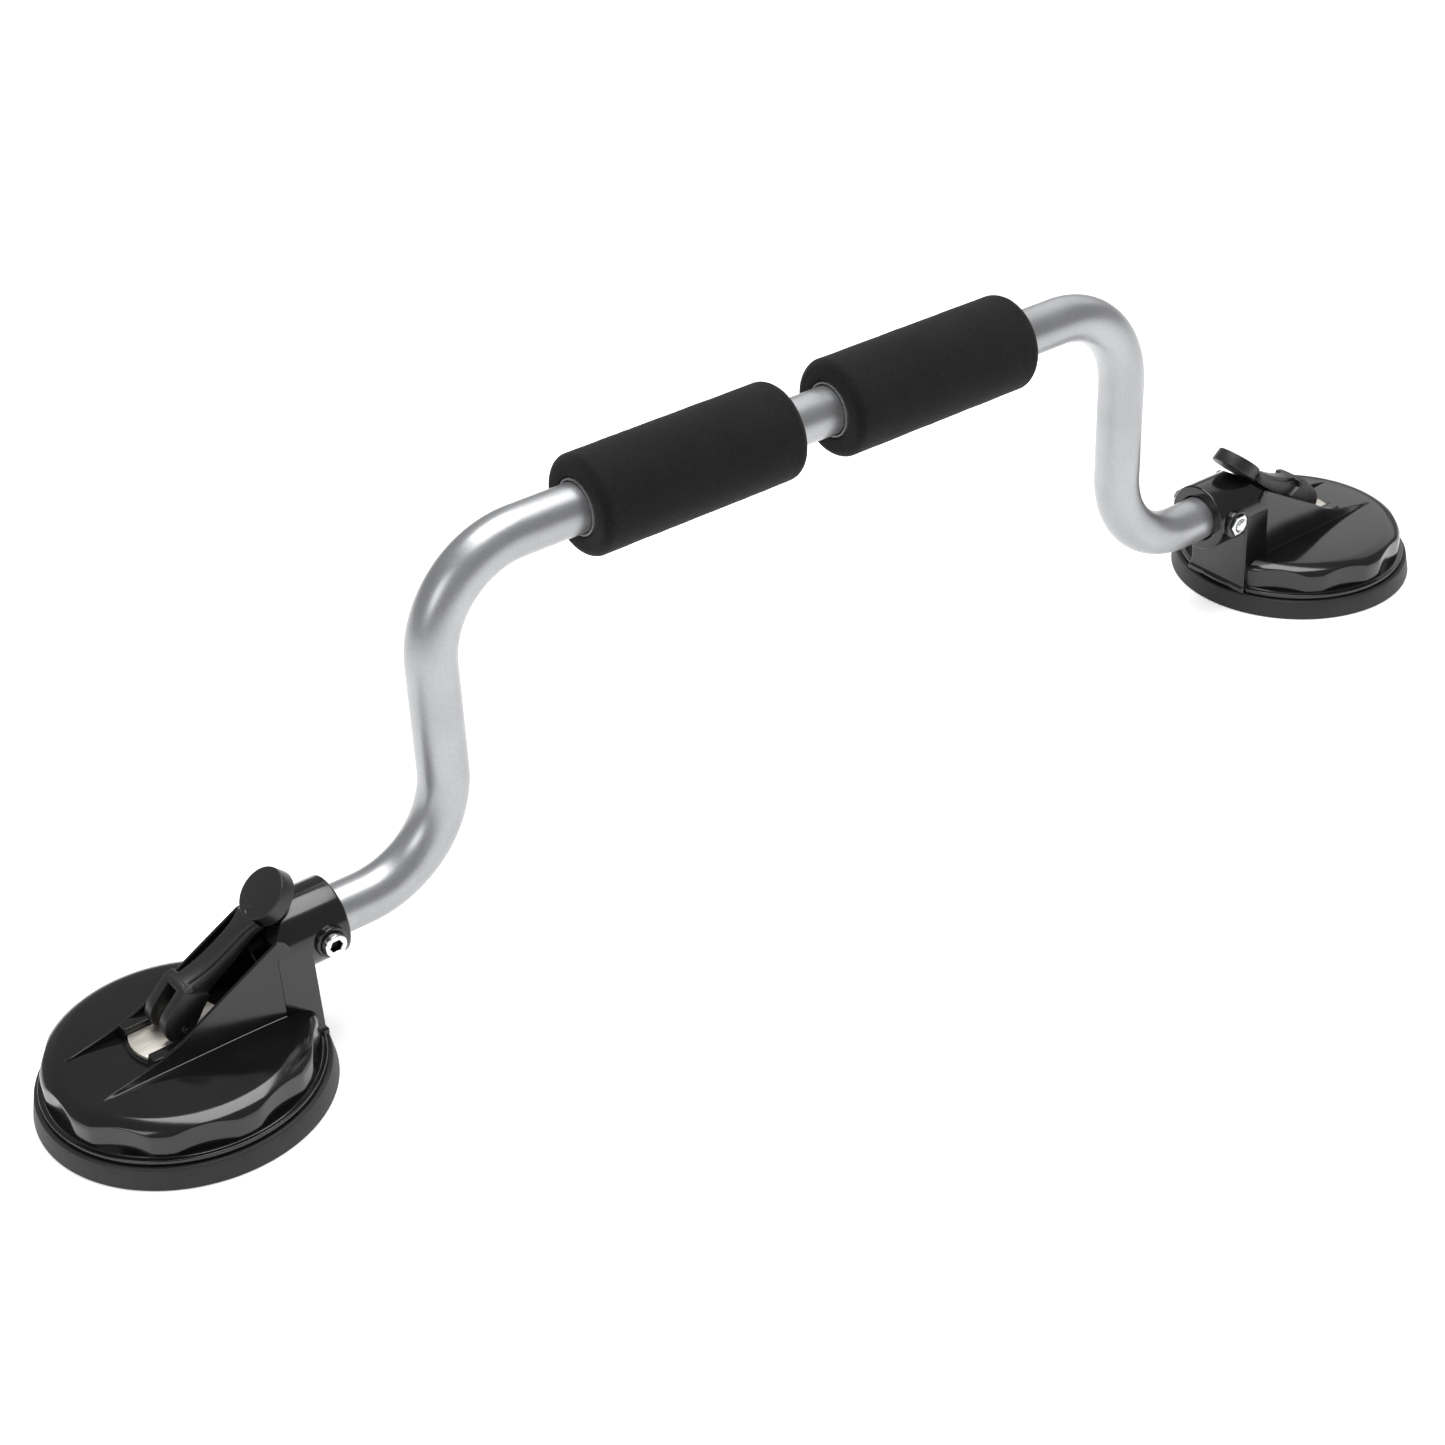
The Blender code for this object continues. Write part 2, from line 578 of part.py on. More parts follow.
def cam_lever():
    half = FORK_WIDTH / 2
    slot_half = FORK_SLOT / 2
    far = 0.03
    clear = STUD_EYE_RADIUS + 0.0015
    slot = [(-far, -far), (clear, -far), (clear, 0.003), (0.0024, 0.0172), (-0.010, far), (-far, far)]
    past = half + OVERSHOOT
    pin_hole = rod(PIN_RADIUS + HOLE_CLEARANCE, (0, -past, 0), (0, past, 0), 16, "pin_hole")
    stem_half = STEM_WIDTH / 2
    spine_half = SPINE_WIDTH / 2
    mesh = combine(plate_of(fork_outline(), -half, half, "fork"), [
        ("UNION", plate_of(stem_outline(SPINE_PROUD), -stem_half, stem_half, "stem")),
        ("UNION", plate_of(stem_outline(0.0), -spine_half, spine_half, "spine")),
        ("UNION", knob()),
        ("DIFFERENCE", plate_of(slot, -slot_half, slot_half, "slot")),
        ("DIFFERENCE", pin_hole),
    ])
    return finish_mesh(mesh, "matte_nylon", 30.0)


def lever_pin():
    half = FORK_WIDTH / 2 - GAP
    return finish_mesh(rod(PIN_RADIUS, (0, -half, 0), (0, half, 0), 16, "pin"), "zinc_steel")


def clamp_screw():
    """Socket head screw through the collar, head on the -v side, about its own axis."""
    head = rod(SCREW_HEAD_RADIUS, (0, -SCREW_FACE, 0), (0, -SCREW_SEAT, 0), 24, "head")
    tip = NUT_FACE + THREAD_PROUD
    shank = rod(SCREW_RADIUS, (0, -SCREW_SEAT - OVERSHOOT, 0), (0, tip, 0), 16, "shank")
    socket_end = -SCREW_FACE + SCREW_HEAD / 2
    socket_start = -SCREW_FACE - OVERSHOOT
    socket = rod(SCREW_HEX / 2 / cos(pi / 6), (0, socket_start, 0), (0, socket_end, 0), 6, "socket")
    return finish_mesh(combine(head, [("UNION", shank), ("DIFFERENCE", socket)]), "chrome")


def clamp_nut():
    body = rod(NUT_FLATS / 2 / cos(pi / 6), (0, NUT_SEAT, 0), (0, NUT_FACE, 0), 6, "nut")
    hole = rod(SCREW_RADIUS + GAP, (0, NUT_SEAT - OVERSHOOT, 0), (0, NUT_FACE + OVERSHOOT, 0), 16, "hole")
    return finish_mesh(combine(body, [("DIFFERENCE", hole)]), "chrome")


def build():
    clear_scene()
    place("bar_tube", bar_tube())
    roller_x = (ROLLER_GAP + FOAM_LENGTH) / 2
    foam = foam_sleeve()
    liner = sleeve_liner()
    for name, side in (("left", -1), ("right", 1)):
        place("foam_roller_" + name, foam, location=(side * roller_x, 0, TOP_Z))
        place("roller_liner_" + name, liner, location=(side * roller_x, 0, TOP_Z))
    cup_pieces = [
        ("cup_housing", cup_housing(), (0, 0, 0)),
        ("suction_pad", suction_pad(), (0, 0, 0)),
        ("wear_plate", wear_plate(), (0, 0, 0)),
        ("lift_plate", lift_plate(), (0, 0, 0)),
        ("pull_stud", pull_stud(), (0, 0, PIN_Z)),
        ("lever_pin", lever_pin(), (0, 0, PIN_Z)),
        ("cam_lever", cam_lever(), (0, 0, PIN_Z)),
        ("clamp_screw", clamp_screw(), (SCREW_U, 0, COLLAR_AXIS_Z)),
        ("clamp_nut", clamp_nut(), (SCREW_U, 0, COLLAR_AXIS_Z)),
    ]
    for name, side, turn in (("left", -1, 0.0), ("right", 1, pi)):
        cup = place("cup_" + name, None, location=(side * CUP_X, 0, 0))
        cup.rotation_euler = (0, 0, turn)
        for piece, mesh, location in cup_pieces:
            place(piece + "_" + name, mesh, cup, location)


build()
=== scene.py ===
# Bent tube grip bar with foam rollers on two lever suction cups.
# A cup's pieces are made in that cup's own millimetres: u towards the middle of the bar, v across, w up.
import json
import math

import bmesh
import bpy
from mathutils import Matrix, Vector, noise


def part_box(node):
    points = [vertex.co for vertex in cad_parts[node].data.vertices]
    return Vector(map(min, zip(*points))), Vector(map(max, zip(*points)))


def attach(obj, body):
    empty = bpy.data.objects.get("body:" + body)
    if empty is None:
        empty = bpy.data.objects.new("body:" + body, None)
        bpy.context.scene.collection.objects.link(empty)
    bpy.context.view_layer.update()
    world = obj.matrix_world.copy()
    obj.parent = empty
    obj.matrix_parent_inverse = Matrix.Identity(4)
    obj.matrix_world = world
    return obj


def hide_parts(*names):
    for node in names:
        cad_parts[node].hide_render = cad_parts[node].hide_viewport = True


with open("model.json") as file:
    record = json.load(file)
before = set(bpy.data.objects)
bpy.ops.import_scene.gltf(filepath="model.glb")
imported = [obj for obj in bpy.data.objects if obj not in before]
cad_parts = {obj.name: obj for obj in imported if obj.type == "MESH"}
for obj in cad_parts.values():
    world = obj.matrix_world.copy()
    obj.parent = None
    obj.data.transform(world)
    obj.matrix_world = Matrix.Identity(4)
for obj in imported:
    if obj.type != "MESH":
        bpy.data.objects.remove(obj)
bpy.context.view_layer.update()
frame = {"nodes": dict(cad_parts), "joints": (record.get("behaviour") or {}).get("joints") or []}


# Colours and node help

def hexColour(code):
    channels = [int(code[i:i + 2], 16) / 255 for i in (1, 3, 5)]
    return tuple(c / 12.92 if c <= 0.04045 else ((c + 0.055) / 1.055) ** 2.4 for c in channels) + (1.0,)


def addNode(tree, kind, settings=None, values=None, links=None):
    node = tree.nodes.new(kind)
    for name, value in (settings or {}).items():
        setattr(node, name, value)
    for name, value in (values or {}).items():
        node.inputs[name].default_value = value
    for name, source in (links or {}).items():
        tree.links.new(source, node.inputs[name])
    return node


def startMaterial(name, values):
    made = bpy.data.materials.new(name)
    made.use_nodes = True
    shader = made.node_tree.nodes["Principled BSDF"]
    for socket, value in values.items():
        shader.inputs[socket].default_value = value
    where = addNode(made.node_tree, "ShaderNodeTexCoord").outputs["Object"]
    return made, made.node_tree, shader, where


def perMetre(millimetres):
    return 1000 / millimetres     # noise scale for a grain of that size


def grain(tree, where, millimetres, detail=2.0, roughness=0.5):
    made = addNode(tree, "ShaderNodeTexNoise", values={
        "Scale": perMetre(millimetres), "Detail": detail, "Roughness": roughness}, links={"Vector": where})
    return made.outputs["Fac"]


def spread(tree, source, low, high, start=0.0, end=1.0):
    made = addNode(tree, "ShaderNodeMapRange", values={
        "From Min": start, "From Max": end, "To Min": low, "To Max": high}, links={"Value": source})
    return made.outputs["Result"]


def twoColours(tree, source, first, second, start=0.35, end=0.65):
    ramp = addNode(tree, "ShaderNodeValToRGB", links={"Fac": source})
    ramp.color_ramp.elements[0].position = start
    ramp.color_ramp.elements[0].color = hexColour(first)
    ramp.color_ramp.elements[1].position = end
    ramp.color_ramp.elements[1].color = hexColour(second)
    return ramp.outputs["Color"]


def bumpFrom(tree, shader, height, depthMm, strength=1.0):
    bump = addNode(tree, "ShaderNodeBump", values={"Strength": strength, "Distance": depthMm / 1000},
                   links={"Height": height})
    tree.links.new(bump.outputs["Normal"], shader.inputs["Normal"])


# Materials

def silverPaint():
    # powder coat with fine aluminium flake: an even satin grey with broad soft highlights
    made, tree, shader, where = startMaterial("satin silver powder coat", {"Metallic": 0.8, "IOR": 1.5})
    flake = grain(tree, where, 0.35, 1.0)
    drift = grain(tree, where, 30.0, 2.0)
    colour = addNode(tree, "ShaderNodeMix", {"data_type": "RGBA", "blend_type": "MULTIPLY"}, {"Factor": 1.0})
    tree.links.new(twoColours(tree, flake, "#a3a4a6", "#b4b5b7"), colour.inputs["A"])
    tree.links.new(twoColours(tree, drift, "#f2f2f2", "#ffffff"), colour.inputs["B"])
    tree.links.new(colour.outputs["Result"], shader.inputs["Base Color"])
    tree.links.new(spread(tree, flake, 0.3, 0.4, 0.3, 0.7), shader.inputs["Roughness"])
    bumpFrom(tree, shader, grain(tree, where, 1.2, 2.0), 0.02, 0.5)
    return made


def bareSteel():
    # saw-cut tube end: raw drawn steel, a little darker than the paint
    made, tree, shader, where = startMaterial("drawn steel", {"Metallic": 1.0})
    streaks = grain(tree, where, 0.8, 4.0)
    tree.links.new(twoColours(tree, streaks, "#6f6f70", "#8b8b8c"), shader.inputs["Base Color"])
    tree.links.new(spread(tree, streaks, 0.35, 0.5), shader.inputs["Roughness"])
    return made


def cellFoam():
    # closed-cell NBR foam: cut cells scatter light, so it is nearly lightless with a faint pale speckle
    made, tree, shader, where = startMaterial("closed cell NBR foam", {
        "Roughness": 0.93, "IOR": 1.45, "Specular IOR Level": 0.2, "Sheen Weight": 0.05,
        "Sheen Roughness": 0.6})
    cells = addNode(tree, "ShaderNodeTexVoronoi", {"feature": "F1"}, {"Scale": perMetre(0.9)},
                    {"Vector": where})
    specks = grain(tree, where, 0.7, 3.0, 0.7)
    blotch = grain(tree, where, 18.0, 3.0)
    base = twoColours(tree, specks, "#0f0f0f", "#262626", 0.5, 0.8)
    mixed = addNode(tree, "ShaderNodeMix", {"data_type": "RGBA", "blend_type": "MULTIPLY"}, {"Factor": 1.0})
    tree.links.new(base, mixed.inputs["A"])
    tree.links.new(twoColours(tree, blotch, "#dcdcdc", "#ffffff"), mixed.inputs["B"])
    tree.links.new(mixed.outputs["Result"], shader.inputs["Base Color"])
    bumpFrom(tree, shader, cells.outputs["Distance"], 0.25, 0.55)
    return made


def linerPlastic():
    # extruded polypropylene sleeve: dull dark grey
    made, tree, shader, where = startMaterial("extruded polypropylene", {"IOR": 1.49})
    lines = grain(tree, where, 1.5, 3.0)
    tree.links.new(twoColours(tree, lines, "#5c5d5f", "#6a6b6d"), shader.inputs["Base Color"])
    tree.links.new(spread(tree, lines, 0.42, 0.55), shader.inputs["Roughness"])
    return made


def glossAbs():
    # injection moulded ABS off a polished tool: deep black, sharp but slightly uneven reflections
    made, tree, shader, where = startMaterial("gloss moulded ABS", {"IOR": 1.53})
    cloud = grain(tree, where, 22.0, 3.0)
    fine = grain(tree, where, 1.1, 3.0, 0.6)
    tree.links.new(twoColours(tree, cloud, "#0d0d0e", "#111112"), shader.inputs["Base Color"])
    blend = addNode(tree, "ShaderNodeMath", {"operation": "MULTIPLY_ADD"})
    blend.inputs[1].default_value = 0.35
    tree.links.new(fine, blend.inputs[0])
    tree.links.new(cloud, blend.inputs[2])
    tree.links.new(spread(tree, blend.outputs["Value"], 0.09, 0.18, 0.35, 1.0), shader.inputs["Roughness"])
    bumpFrom(tree, shader, grain(tree, where, 9.0, 2.0), 0.05, 0.35)
    return made


def leverNylon():
    # glass-filled nylon off a spark-eroded tool: satin black with a fine even texture
    made, tree, shader, where = startMaterial("spark textured nylon", {"IOR": 1.53})
    texture = grain(tree, where, 0.55, 3.0, 0.65)
    tree.links.new(twoColours(tree, texture, "#121212", "#1a1a1a"), shader.inputs["Base Color"])
    tree.links.new(spread(tree, texture, 0.32, 0.48, 0.3, 0.7), shader.inputs["Roughness"])
    bumpFrom(tree, shader, texture, 0.04, 0.3)
    return made


def padRubber():
    # moulded natural rubber: soft black with a dull bloom
    made, tree, shader, where = startMaterial("moulded black rubber", {
        "IOR": 1.52, "Specular IOR Level": 0.4})
    bloom = grain(tree, where, 14.0, 4.0)
    skin = grain(tree, where, 0.6, 2.0)
    tree.links.new(twoColours(tree, bloom, "#131313", "#1b1b1b"), shader.inputs["Base Color"])
    tree.links.new(spread(tree, skin, 0.5, 0.64, 0.3, 0.7), shader.inputs["Roughness"])
    bumpFrom(tree, shader, skin, 0.03, 0.3)
    return made


def satinZinc():
    # stamped steel plate, satin zinc: pale and slightly warm with fine rolling lines
    made, tree, shader, where = startMaterial("satin zinc plated steel", {"Metallic": 1.0})
    along = addNode(tree, "ShaderNodeMapping", values={"Scale": (0.08, 1.0, 1.0)}, links={"Vector": where})
    lines = grain(tree, along.outputs["Vector"], 0.6, 3.0, 0.6)
    tree.links.new(twoColours(tree, lines, "#d3cdc4", "#e3ded6"), shader.inputs["Base Color"])
    tree.links.new(spread(tree, lines, 0.4, 0.5, 0.3, 0.7), shader.inputs["Roughness"])
    bumpFrom(tree, shader, lines, 0.004, 0.2)
    return made


def brightZinc():
    # barrel plated fasteners: bright, a little blue, faintly mottled
    made, tree, shader, where = startMaterial("bright zinc plate", {"Metallic": 1.0})
    mottle = grain(tree, where, 1.4, 3.0)
    tree.links.new(twoColours(tree, mottle, "#cfd1d3", "#e9eaeb"), shader.inputs["Base Color"])
    tree.links.new(spread(tree, mottle, 0.12, 0.24, 0.3, 0.7), shader.inputs["Roughness"])
    return made


def paintedShadeSocket():
    # the key socket of the screw: near-black steel that paints in the shade inside the socket, so it shows
    # dark
    made, tree, shader, where = startMaterial("steel painted with socket shade", {"Metallic": 0.6})
    shadeGrain = grain(tree, where, 0.9, 2.0)
    tree.links.new(twoColours(tree, shadeGrain, "#0c0c0c", "#1b1b1b"), shader.inputs["Base Color"])
    tree.links.new(spread(tree, shadeGrain, 0.3, 0.45), shader.inputs["Roughness"])
    return made


finish = {
    "paint": silverPaint(), "steel": bareSteel(), "foam": cellFoam(), "liner": linerPlastic(),
    "abs": glossAbs(), "nylon": leverNylon(), "rubber": padRubber(), "plate": satinZinc(),
    "zinc": brightZinc(), "socket": paintedShadeSocket(),
}
print("materials made:", len(finish))


# Shells: lists of points and faces

def loft(rings, wrap=False):
    count = len(rings[0])
    points = [point for ring in rings for point in ring]
    faces = []
    for s in range(len(rings) if wrap else len(rings) - 1):
        a = s * count
        b = (s + 1) % len(rings) * count
        for i in range(count):
            j = (i + 1) % count
            faces.append((a + i, a + j, b + j, b + i))
    if not wrap:
        faces.append(tuple(range(count - 1, -1, -1)))
        faces.append(tuple(range(len(points) - count, len(points))))
    return points, faces


def moved(shell, matrix):
    return [matrix @ Vector(point) for point in shell[0]], shell[1]


def turned(profile, sides, wrap=False):
    rings = []
    for r, h in profile:
        steps = [2 * math.pi * i / sides for i in range(sides)]
        rings.append([(r * math.cos(a), r * math.sin(a), h) for a in steps])
    return loft(rings, wrap)


def arcPoints(centre, radius, start, end, steps):
    turns = [math.radians(start + (end - start) * i / steps) for i in range(steps + 1)]
    return [(centre[0] + radius * math.cos(a), centre[1] + radius * math.sin(a)) for a in turns]


def bezier(points, steps):
    curve = []
    for i in range(steps + 1):
        t = i / steps
        weights = ((1 - t) ** 3, 3 * t * (1 - t) ** 2, 3 * t * t * (1 - t), t ** 3)
        curve.append(tuple(sum(w * p[k] for w, p in zip(weights, points)) for k in (0, 1)))
    return curve


def softened(outline, radii, steps=5):
    # rounds each corner of a closed outline by its own radius
    result = []
    count = len(outline)
    for i, corner in enumerate(outline):
        here = Vector(corner)
        back = (Vector(outline[i - 1]) - here)
        ahead = (Vector(outline[(i + 1) % count]) - here)
        radius = radii[i] if isinstance(radii, (list, tuple)) else radii
        half = back.angle(ahead) / 2
        if radius <= 0 or half > math.radians(88):
            result.append(tuple(here))
            continue
        reach = min(radius / math.tan(half), back.length * 0.45, ahead.length * 0.45)
        first = here + back.normalized() * reach
        last = here + ahead.normalized() * reach
        for s in range(steps + 1):
            t = s / steps
            result.append(tuple(first * (1 - t) ** 2 + here * 2 * t * (1 - t) + last * t * t))
    return result


def inset(outline, amount):
    # moves each point of a closed outline inwards along its bisector
    count = len(outline)
    area = sum(outline[i][0] * outline[(i + 1) % count][1] - outline[(i + 1) % count][0] * outline[i][1]
               for i in range(count))
    turn = 1 if area > 0 else -1
    result = []
    for i in range(count):
        here = Vector(outline[i])
        into = (here - Vector(outline[i - 1])).normalized()
        out = (Vector(outline[(i + 1) % count]) - here).normalized()
        normal = Vector((-(into + out).y, (into + out).x))
        if normal.length < 1e-9:
            result.append(tuple(here))
            continue
        normal.normalize()
        lean = max(normal.dot(Vector((-into.y, into.x))), 0.4)
        result.append(tuple(here + normal * (turn * amount / lean)))
    return result


def slab(outline, low, high, edge, steps=3):
    # an outline in (u, w) made solid across v, with its rims rounded
    turns = [math.pi / 2 * i / steps for i in range(steps + 1)]
    rings = [[(u, low + edge * (1 - math.cos(a)), w) for u, w in inset(outline, edge * (1 - math.sin(a)))]
             for a in turns]
    rings += [[(u, high - edge * (1 - math.cos(a)), w) for u, w in inset(outline, edge * (1 - math.sin(a)))]
              for a in reversed(turns)]
    return loft(rings)


def meshFrom(name, shells):
    bm = bmesh.new()
    for points, faces in shells:
        verts = [bm.verts.new(point) for point in points]
        for face in faces:
            bm.faces.new([verts[i] for i in face])
    bmesh.ops.remove_doubles(bm, verts=bm.verts, dist=1e-4)
    bmesh.ops.dissolve_degenerate(bm, edges=bm.edges, dist=1e-4)
    bmesh.ops.recalc_face_normals(bm, faces=bm.faces)
    mesh = bpy.data.meshes.new(name)
    bm.to_mesh(mesh)
    bm.free()
    return mesh


def together(name, meshes):
    bm = bmesh.new()
    for mesh in meshes:
        bm.from_mesh(mesh)
    joined = bpy.data.meshes.new(name)
    bm.to_mesh(joined)
    bm.free()
    return joined


def evaluated(item):
    graph = bpy.context.evaluated_depsgraph_get()
    return bpy.data.meshes.new_from_object(item.evaluated_get(graph))


def carved(name, base, steps):
    # joins and cuts shells in order and gives back one mesh
    host = bpy.data.objects.new(name, meshFrom(name, [base]))
    bpy.context.scene.collection.objects.link(host)
    helpers = []
    for operation, shell in steps:
        helper = bpy.data.objects.new("helper", meshFrom("helper", [shell]))
        bpy.context.scene.collection.objects.link(helper)
        helpers.append(helper)
        step = host.modifiers.new("step", "BOOLEAN")
        step.operation = operation
        step.solver = "EXACT"
        step.object = helper
    result = evaluated(host)
    for item in helpers + [host]:
        bpy.data.objects.remove(item, do_unlink=True)
    return result


def cupMatrix(side, height=0.0):
    # from a cup's millimetres to the row's metres
    place = Matrix.Translation((cupX if side == "right" else -cupX, 0, 0))
    turn = Matrix.Rotation(math.pi if side == "right" else 0.0, 4, "Z")
    return place @ turn @ Matrix.Scale(0.001, 4) @ Matrix.Translation((0, 0, height))


def finished(name, mesh, materials, body, node, sharp=32.0):
    # shades a mesh that is in place, and lets it stand for a CAD node
    parts = [min(face.material_index, len(materials) - 1) for face in mesh.polygons]
    mesh.materials.clear()
    for material in materials:
        mesh.materials.append(material)
    mesh.polygons.foreach_set("material_index", parts)
    mesh.shade_smooth()
    mesh.set_sharp_from_angle(angle=math.radians(sharp))
    piece = bpy.data.objects.new(name, mesh)
    bpy.context.scene.collection.objects.link(piece)
    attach(piece, body)
    if node:
        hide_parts(node)
    return piece


def bothCups(name, mesh, materials, body, node, sharp=32.0):
    for side in ("left", "right"):
        copy = mesh.copy()
        copy.transform(cupMatrix(side))
        owner = body if body == "frame" else body + "_" + side
        finished(name + "_" + side, copy, materials, owner, node + "_" + side, sharp)


# Places from the frame, in millimetres unless named otherwise

low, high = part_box("suction_pad_left")
cupX = -(low.x + high.x) / 2
padRadius = (high.x - low.x) * 500
padLow = low.z * 1000
low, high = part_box("bar_tube")
tubeRadius = (high.y - low.y) * 500
collarZ = low.z * 1000 + tubeRadius
topZ = high.z * 1000 - tubeRadius
tubeEndX = high.x * 1000
joints = {joint["name"]: joint for joint in frame["joints"]}
pinZ = joints["lever_left_throw"]["pos_m"][2] * 1000
throw = math.radians(joints["lever_left_throw"]["range_deg"][1])
stroke = joints["stud_left_lift"]["range_m"][1] * 1000
plateLow, plateHigh = (corner.z * 1000 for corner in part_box("wear_plate_left"))
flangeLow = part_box("cup_housing_left")[0].z * 1000
print("cup spacing", round(cupX * 2, 4), "m, top of bar", round(topZ, 1), "mm")


# The bent tube: a route with rounded corners, swept in Geometry Nodes

bar = {"legX": 195.0, "bendRadius": 45.0, "wall": 1.5, "bendSteps": 40, "sides": 64}


def socketId(tree, name):
    return next(item.identifier for item in tree.interface.items_tree if item.name == name)


def sweepTree():
    tree = bpy.data.node_groups.new("tube sweep", "GeometryNodeTree")
    tree.interface.new_socket("Geometry", in_out="INPUT", socket_type="NodeSocketGeometry")
    for name, kind in (("Bend radius", "Float"), ("Tube radius", "Float"), ("Bend steps", "Int"),
                       ("Sides", "Int"), ("Finish", "Material")):
        tree.interface.new_socket(name, in_out="INPUT", socket_type="NodeSocket" + kind)
    tree.interface.new_socket("Geometry", in_out="OUTPUT", socket_type="NodeSocketGeometry")
    given = addNode(tree, "NodeGroupInput").outputs
    route = addNode(tree, "GeometryNodeMeshToCurve", links={"Mesh": given["Geometry"]})
    bent = addNode(tree, "GeometryNodeFilletCurve", {"mode": "POLY"}, {"Limit Radius": True}, {
        "Curve": route.outputs["Curve"], "Radius": given["Bend radius"], "Count": given["Bend steps"]})
    ring = addNode(tree, "GeometryNodeCurvePrimitiveCircle", links={
        "Resolution": given["Sides"], "Radius": given["Tube radius"]})
    skin = addNode(tree, "GeometryNodeCurveToMesh", links={
        "Curve": bent.outputs["Curve"], "Profile Curve": ring.outputs["Curve"]})
    real = addNode(tree, "GeometryNodeRealizeInstances", links={"Geometry": skin.outputs["Mesh"]})
    coloured = addNode(tree, "GeometryNodeSetMaterial", links={
        "Geometry": real.outputs["Geometry"], "Material": given["Finish"]})
    addNode(tree, "NodeGroupOutput", links={"Geometry": coloured.outputs["Geometry"]})
    return tree


def makeTube():
    corners = [(-tubeEndX, collarZ), (-bar["legX"], collarZ), (-bar["legX"], topZ), (bar["legX"], topZ),
               (bar["legX"], collarZ), (tubeEndX, collarZ)]
    mesh = bpy.data.meshes.new("route")
    mesh.from_pydata([(x / 1000, 0, z / 1000) for x, z in corners], [(i, i + 1) for i in range(5)], [])
    host = bpy.data.objects.new("barTube", mesh)
    bpy.context.scene.collection.objects.link(host)
    tree = sweepTree()
    sweep = host.modifiers.new("sweep", "NODES")
    sweep.node_group = tree
    sizes = {"Bend radius": bar["bendRadius"] / 1000, "Tube radius": tubeRadius / 1000,
             "Bend steps": bar["bendSteps"], "Sides": bar["sides"], "Finish": finish["paint"]}
    for name, value in sizes.items():
        sweep[socketId(tree, name)] = value
    skin = evaluated(host)
    bpy.data.objects.remove(host, do_unlink=True)
    bm = bmesh.new()
    bm.from_mesh(skin)
    bmesh.ops.remove_doubles(bm, verts=bm.verts, dist=1e-7)
    bmesh.ops.recalc_face_normals(bm, faces=bm.faces)
    centre = Vector((0, 0, topZ / 1000))
    topFace = max(bm.faces, key=lambda face: face.calc_center_median().z)
    if topFace.normal.dot(topFace.calc_center_median() - centre) < 0:
        bmesh.ops.reverse_faces(bm, faces=bm.faces)
    bm.to_mesh(skin)
    bm.free()
    piece = bpy.data.objects.new("barTube", skin)
    bpy.context.scene.collection.objects.link(piece)
    wall = piece.modifiers.new("wall", "SOLIDIFY")
    wall.thickness = bar["wall"] / 1000
    wall.offset = -1
    wall.material_offset_rim = 1
    wall.material_offset = 1
    skin.materials.clear()
    skin.materials.append(finish["paint"])
    skin.materials.append(finish["steel"])
    tube = evaluated(piece)
    bpy.data.objects.remove(piece, do_unlink=True)
    return finished("barTube", tube, [finish["paint"], finish["steel"]], "frame", "bar_tube")


makeTube()
print("tube swept")


# Foam rollers and their liners

roller = {
    "edge": 4.0, "edgeSteps": 10, "ripple": 0.12, "sides": 160, "stations": 90, "boreGap": 0.25,
    "linerWall": 1.0, "linerRim": 0.25, "linerSides": 96,
}


def alongBar(shell, centreX):
    turn = Matrix.Translation((centreX, 0, topZ)) @ Matrix.Rotation(math.pi / 2, 4, "Y")
    return moved(shell, turn)


def makeRoller(side):
    low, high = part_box("foam_roller_" + side)
    linerLow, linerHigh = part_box("roller_liner_" + side)
    centre = (low.x + high.x) * 500
    half = (high.x - low.x) * 500
    radius = (high.z - low.z) * 500
    bore = (linerHigh.z - linerLow.z) * 500 + roller["boreGap"]
    edge = roller["edge"]
    steps = roller["edgeSteps"]
    straight = roller["stations"]
    profile = [(bore, 1.2 - half), (bore + 0.4, 0.3 - half), (bore + 1.2, -half)]
    profile += [(radius - edge - 1.5, -half)]
    profile += arcPoints((radius - edge, edge - half), edge, -90, 0, steps)
    profile += [(radius, edge - half + (2 * half - 2 * edge) * i / straight) for i in range(1, straight)]
    profile += arcPoints((radius - edge, half - edge), edge, 0, 90, steps)
    profile += [(radius - edge - 1.5, half), (bore + 1.2, half), (bore + 0.4, half - 0.3)]
    profile += [(bore, half - 1.2)]
    points, faces = alongBar(turned(profile, roller["sides"], wrap=True), centre)
    axis = Vector((0, 0, topZ))
    soft = []
    for point in points:
        out = Vector((0, point.y, point.z)) - axis
        wave = noise.noise(point * 0.09) + 0.4 * noise.noise(point * 0.31)
        share = roller["ripple"] * min(max((out.length - bore - 2) / 6, 0), 1)
        soft.append(point - out.normalized() * share * (0.6 + wave))
    mesh = meshFrom("foamRoller", [(soft, faces)])
    mesh.transform(Matrix.Scale(0.001, 4))
    piece = finished("foamRoller_" + side, mesh, [finish["foam"]], "roller_" + side,
                     "foam_roller_" + side, 60)
    inner = (linerHigh.z - linerLow.z) * 500
    halfLiner = (linerHigh.x - linerLow.x) * 500
    bare = inner - roller["linerWall"]
    rim = roller["linerRim"]
    ring = [(bare, rim - halfLiner), (bare + rim, -halfLiner), (inner - rim, -halfLiner),
            (inner, rim - halfLiner), (inner, halfLiner - rim), (inner - rim, halfLiner),
            (bare + rim, halfLiner), (bare, halfLiner - rim)]
    sleeve = meshFrom("liner", [alongBar(turned(ring, roller["linerSides"], wrap=True), centre)])
    sleeve.transform(Matrix.Scale(0.001, 4))
    finished("rollerLiner_" + side, sleeve, [finish["liner"]], "roller_" + side,
             "roller_liner_" + side, 40)


for side in ("left", "right"):
    makeRoller(side)
print("rollers made")


# Suction cup housing

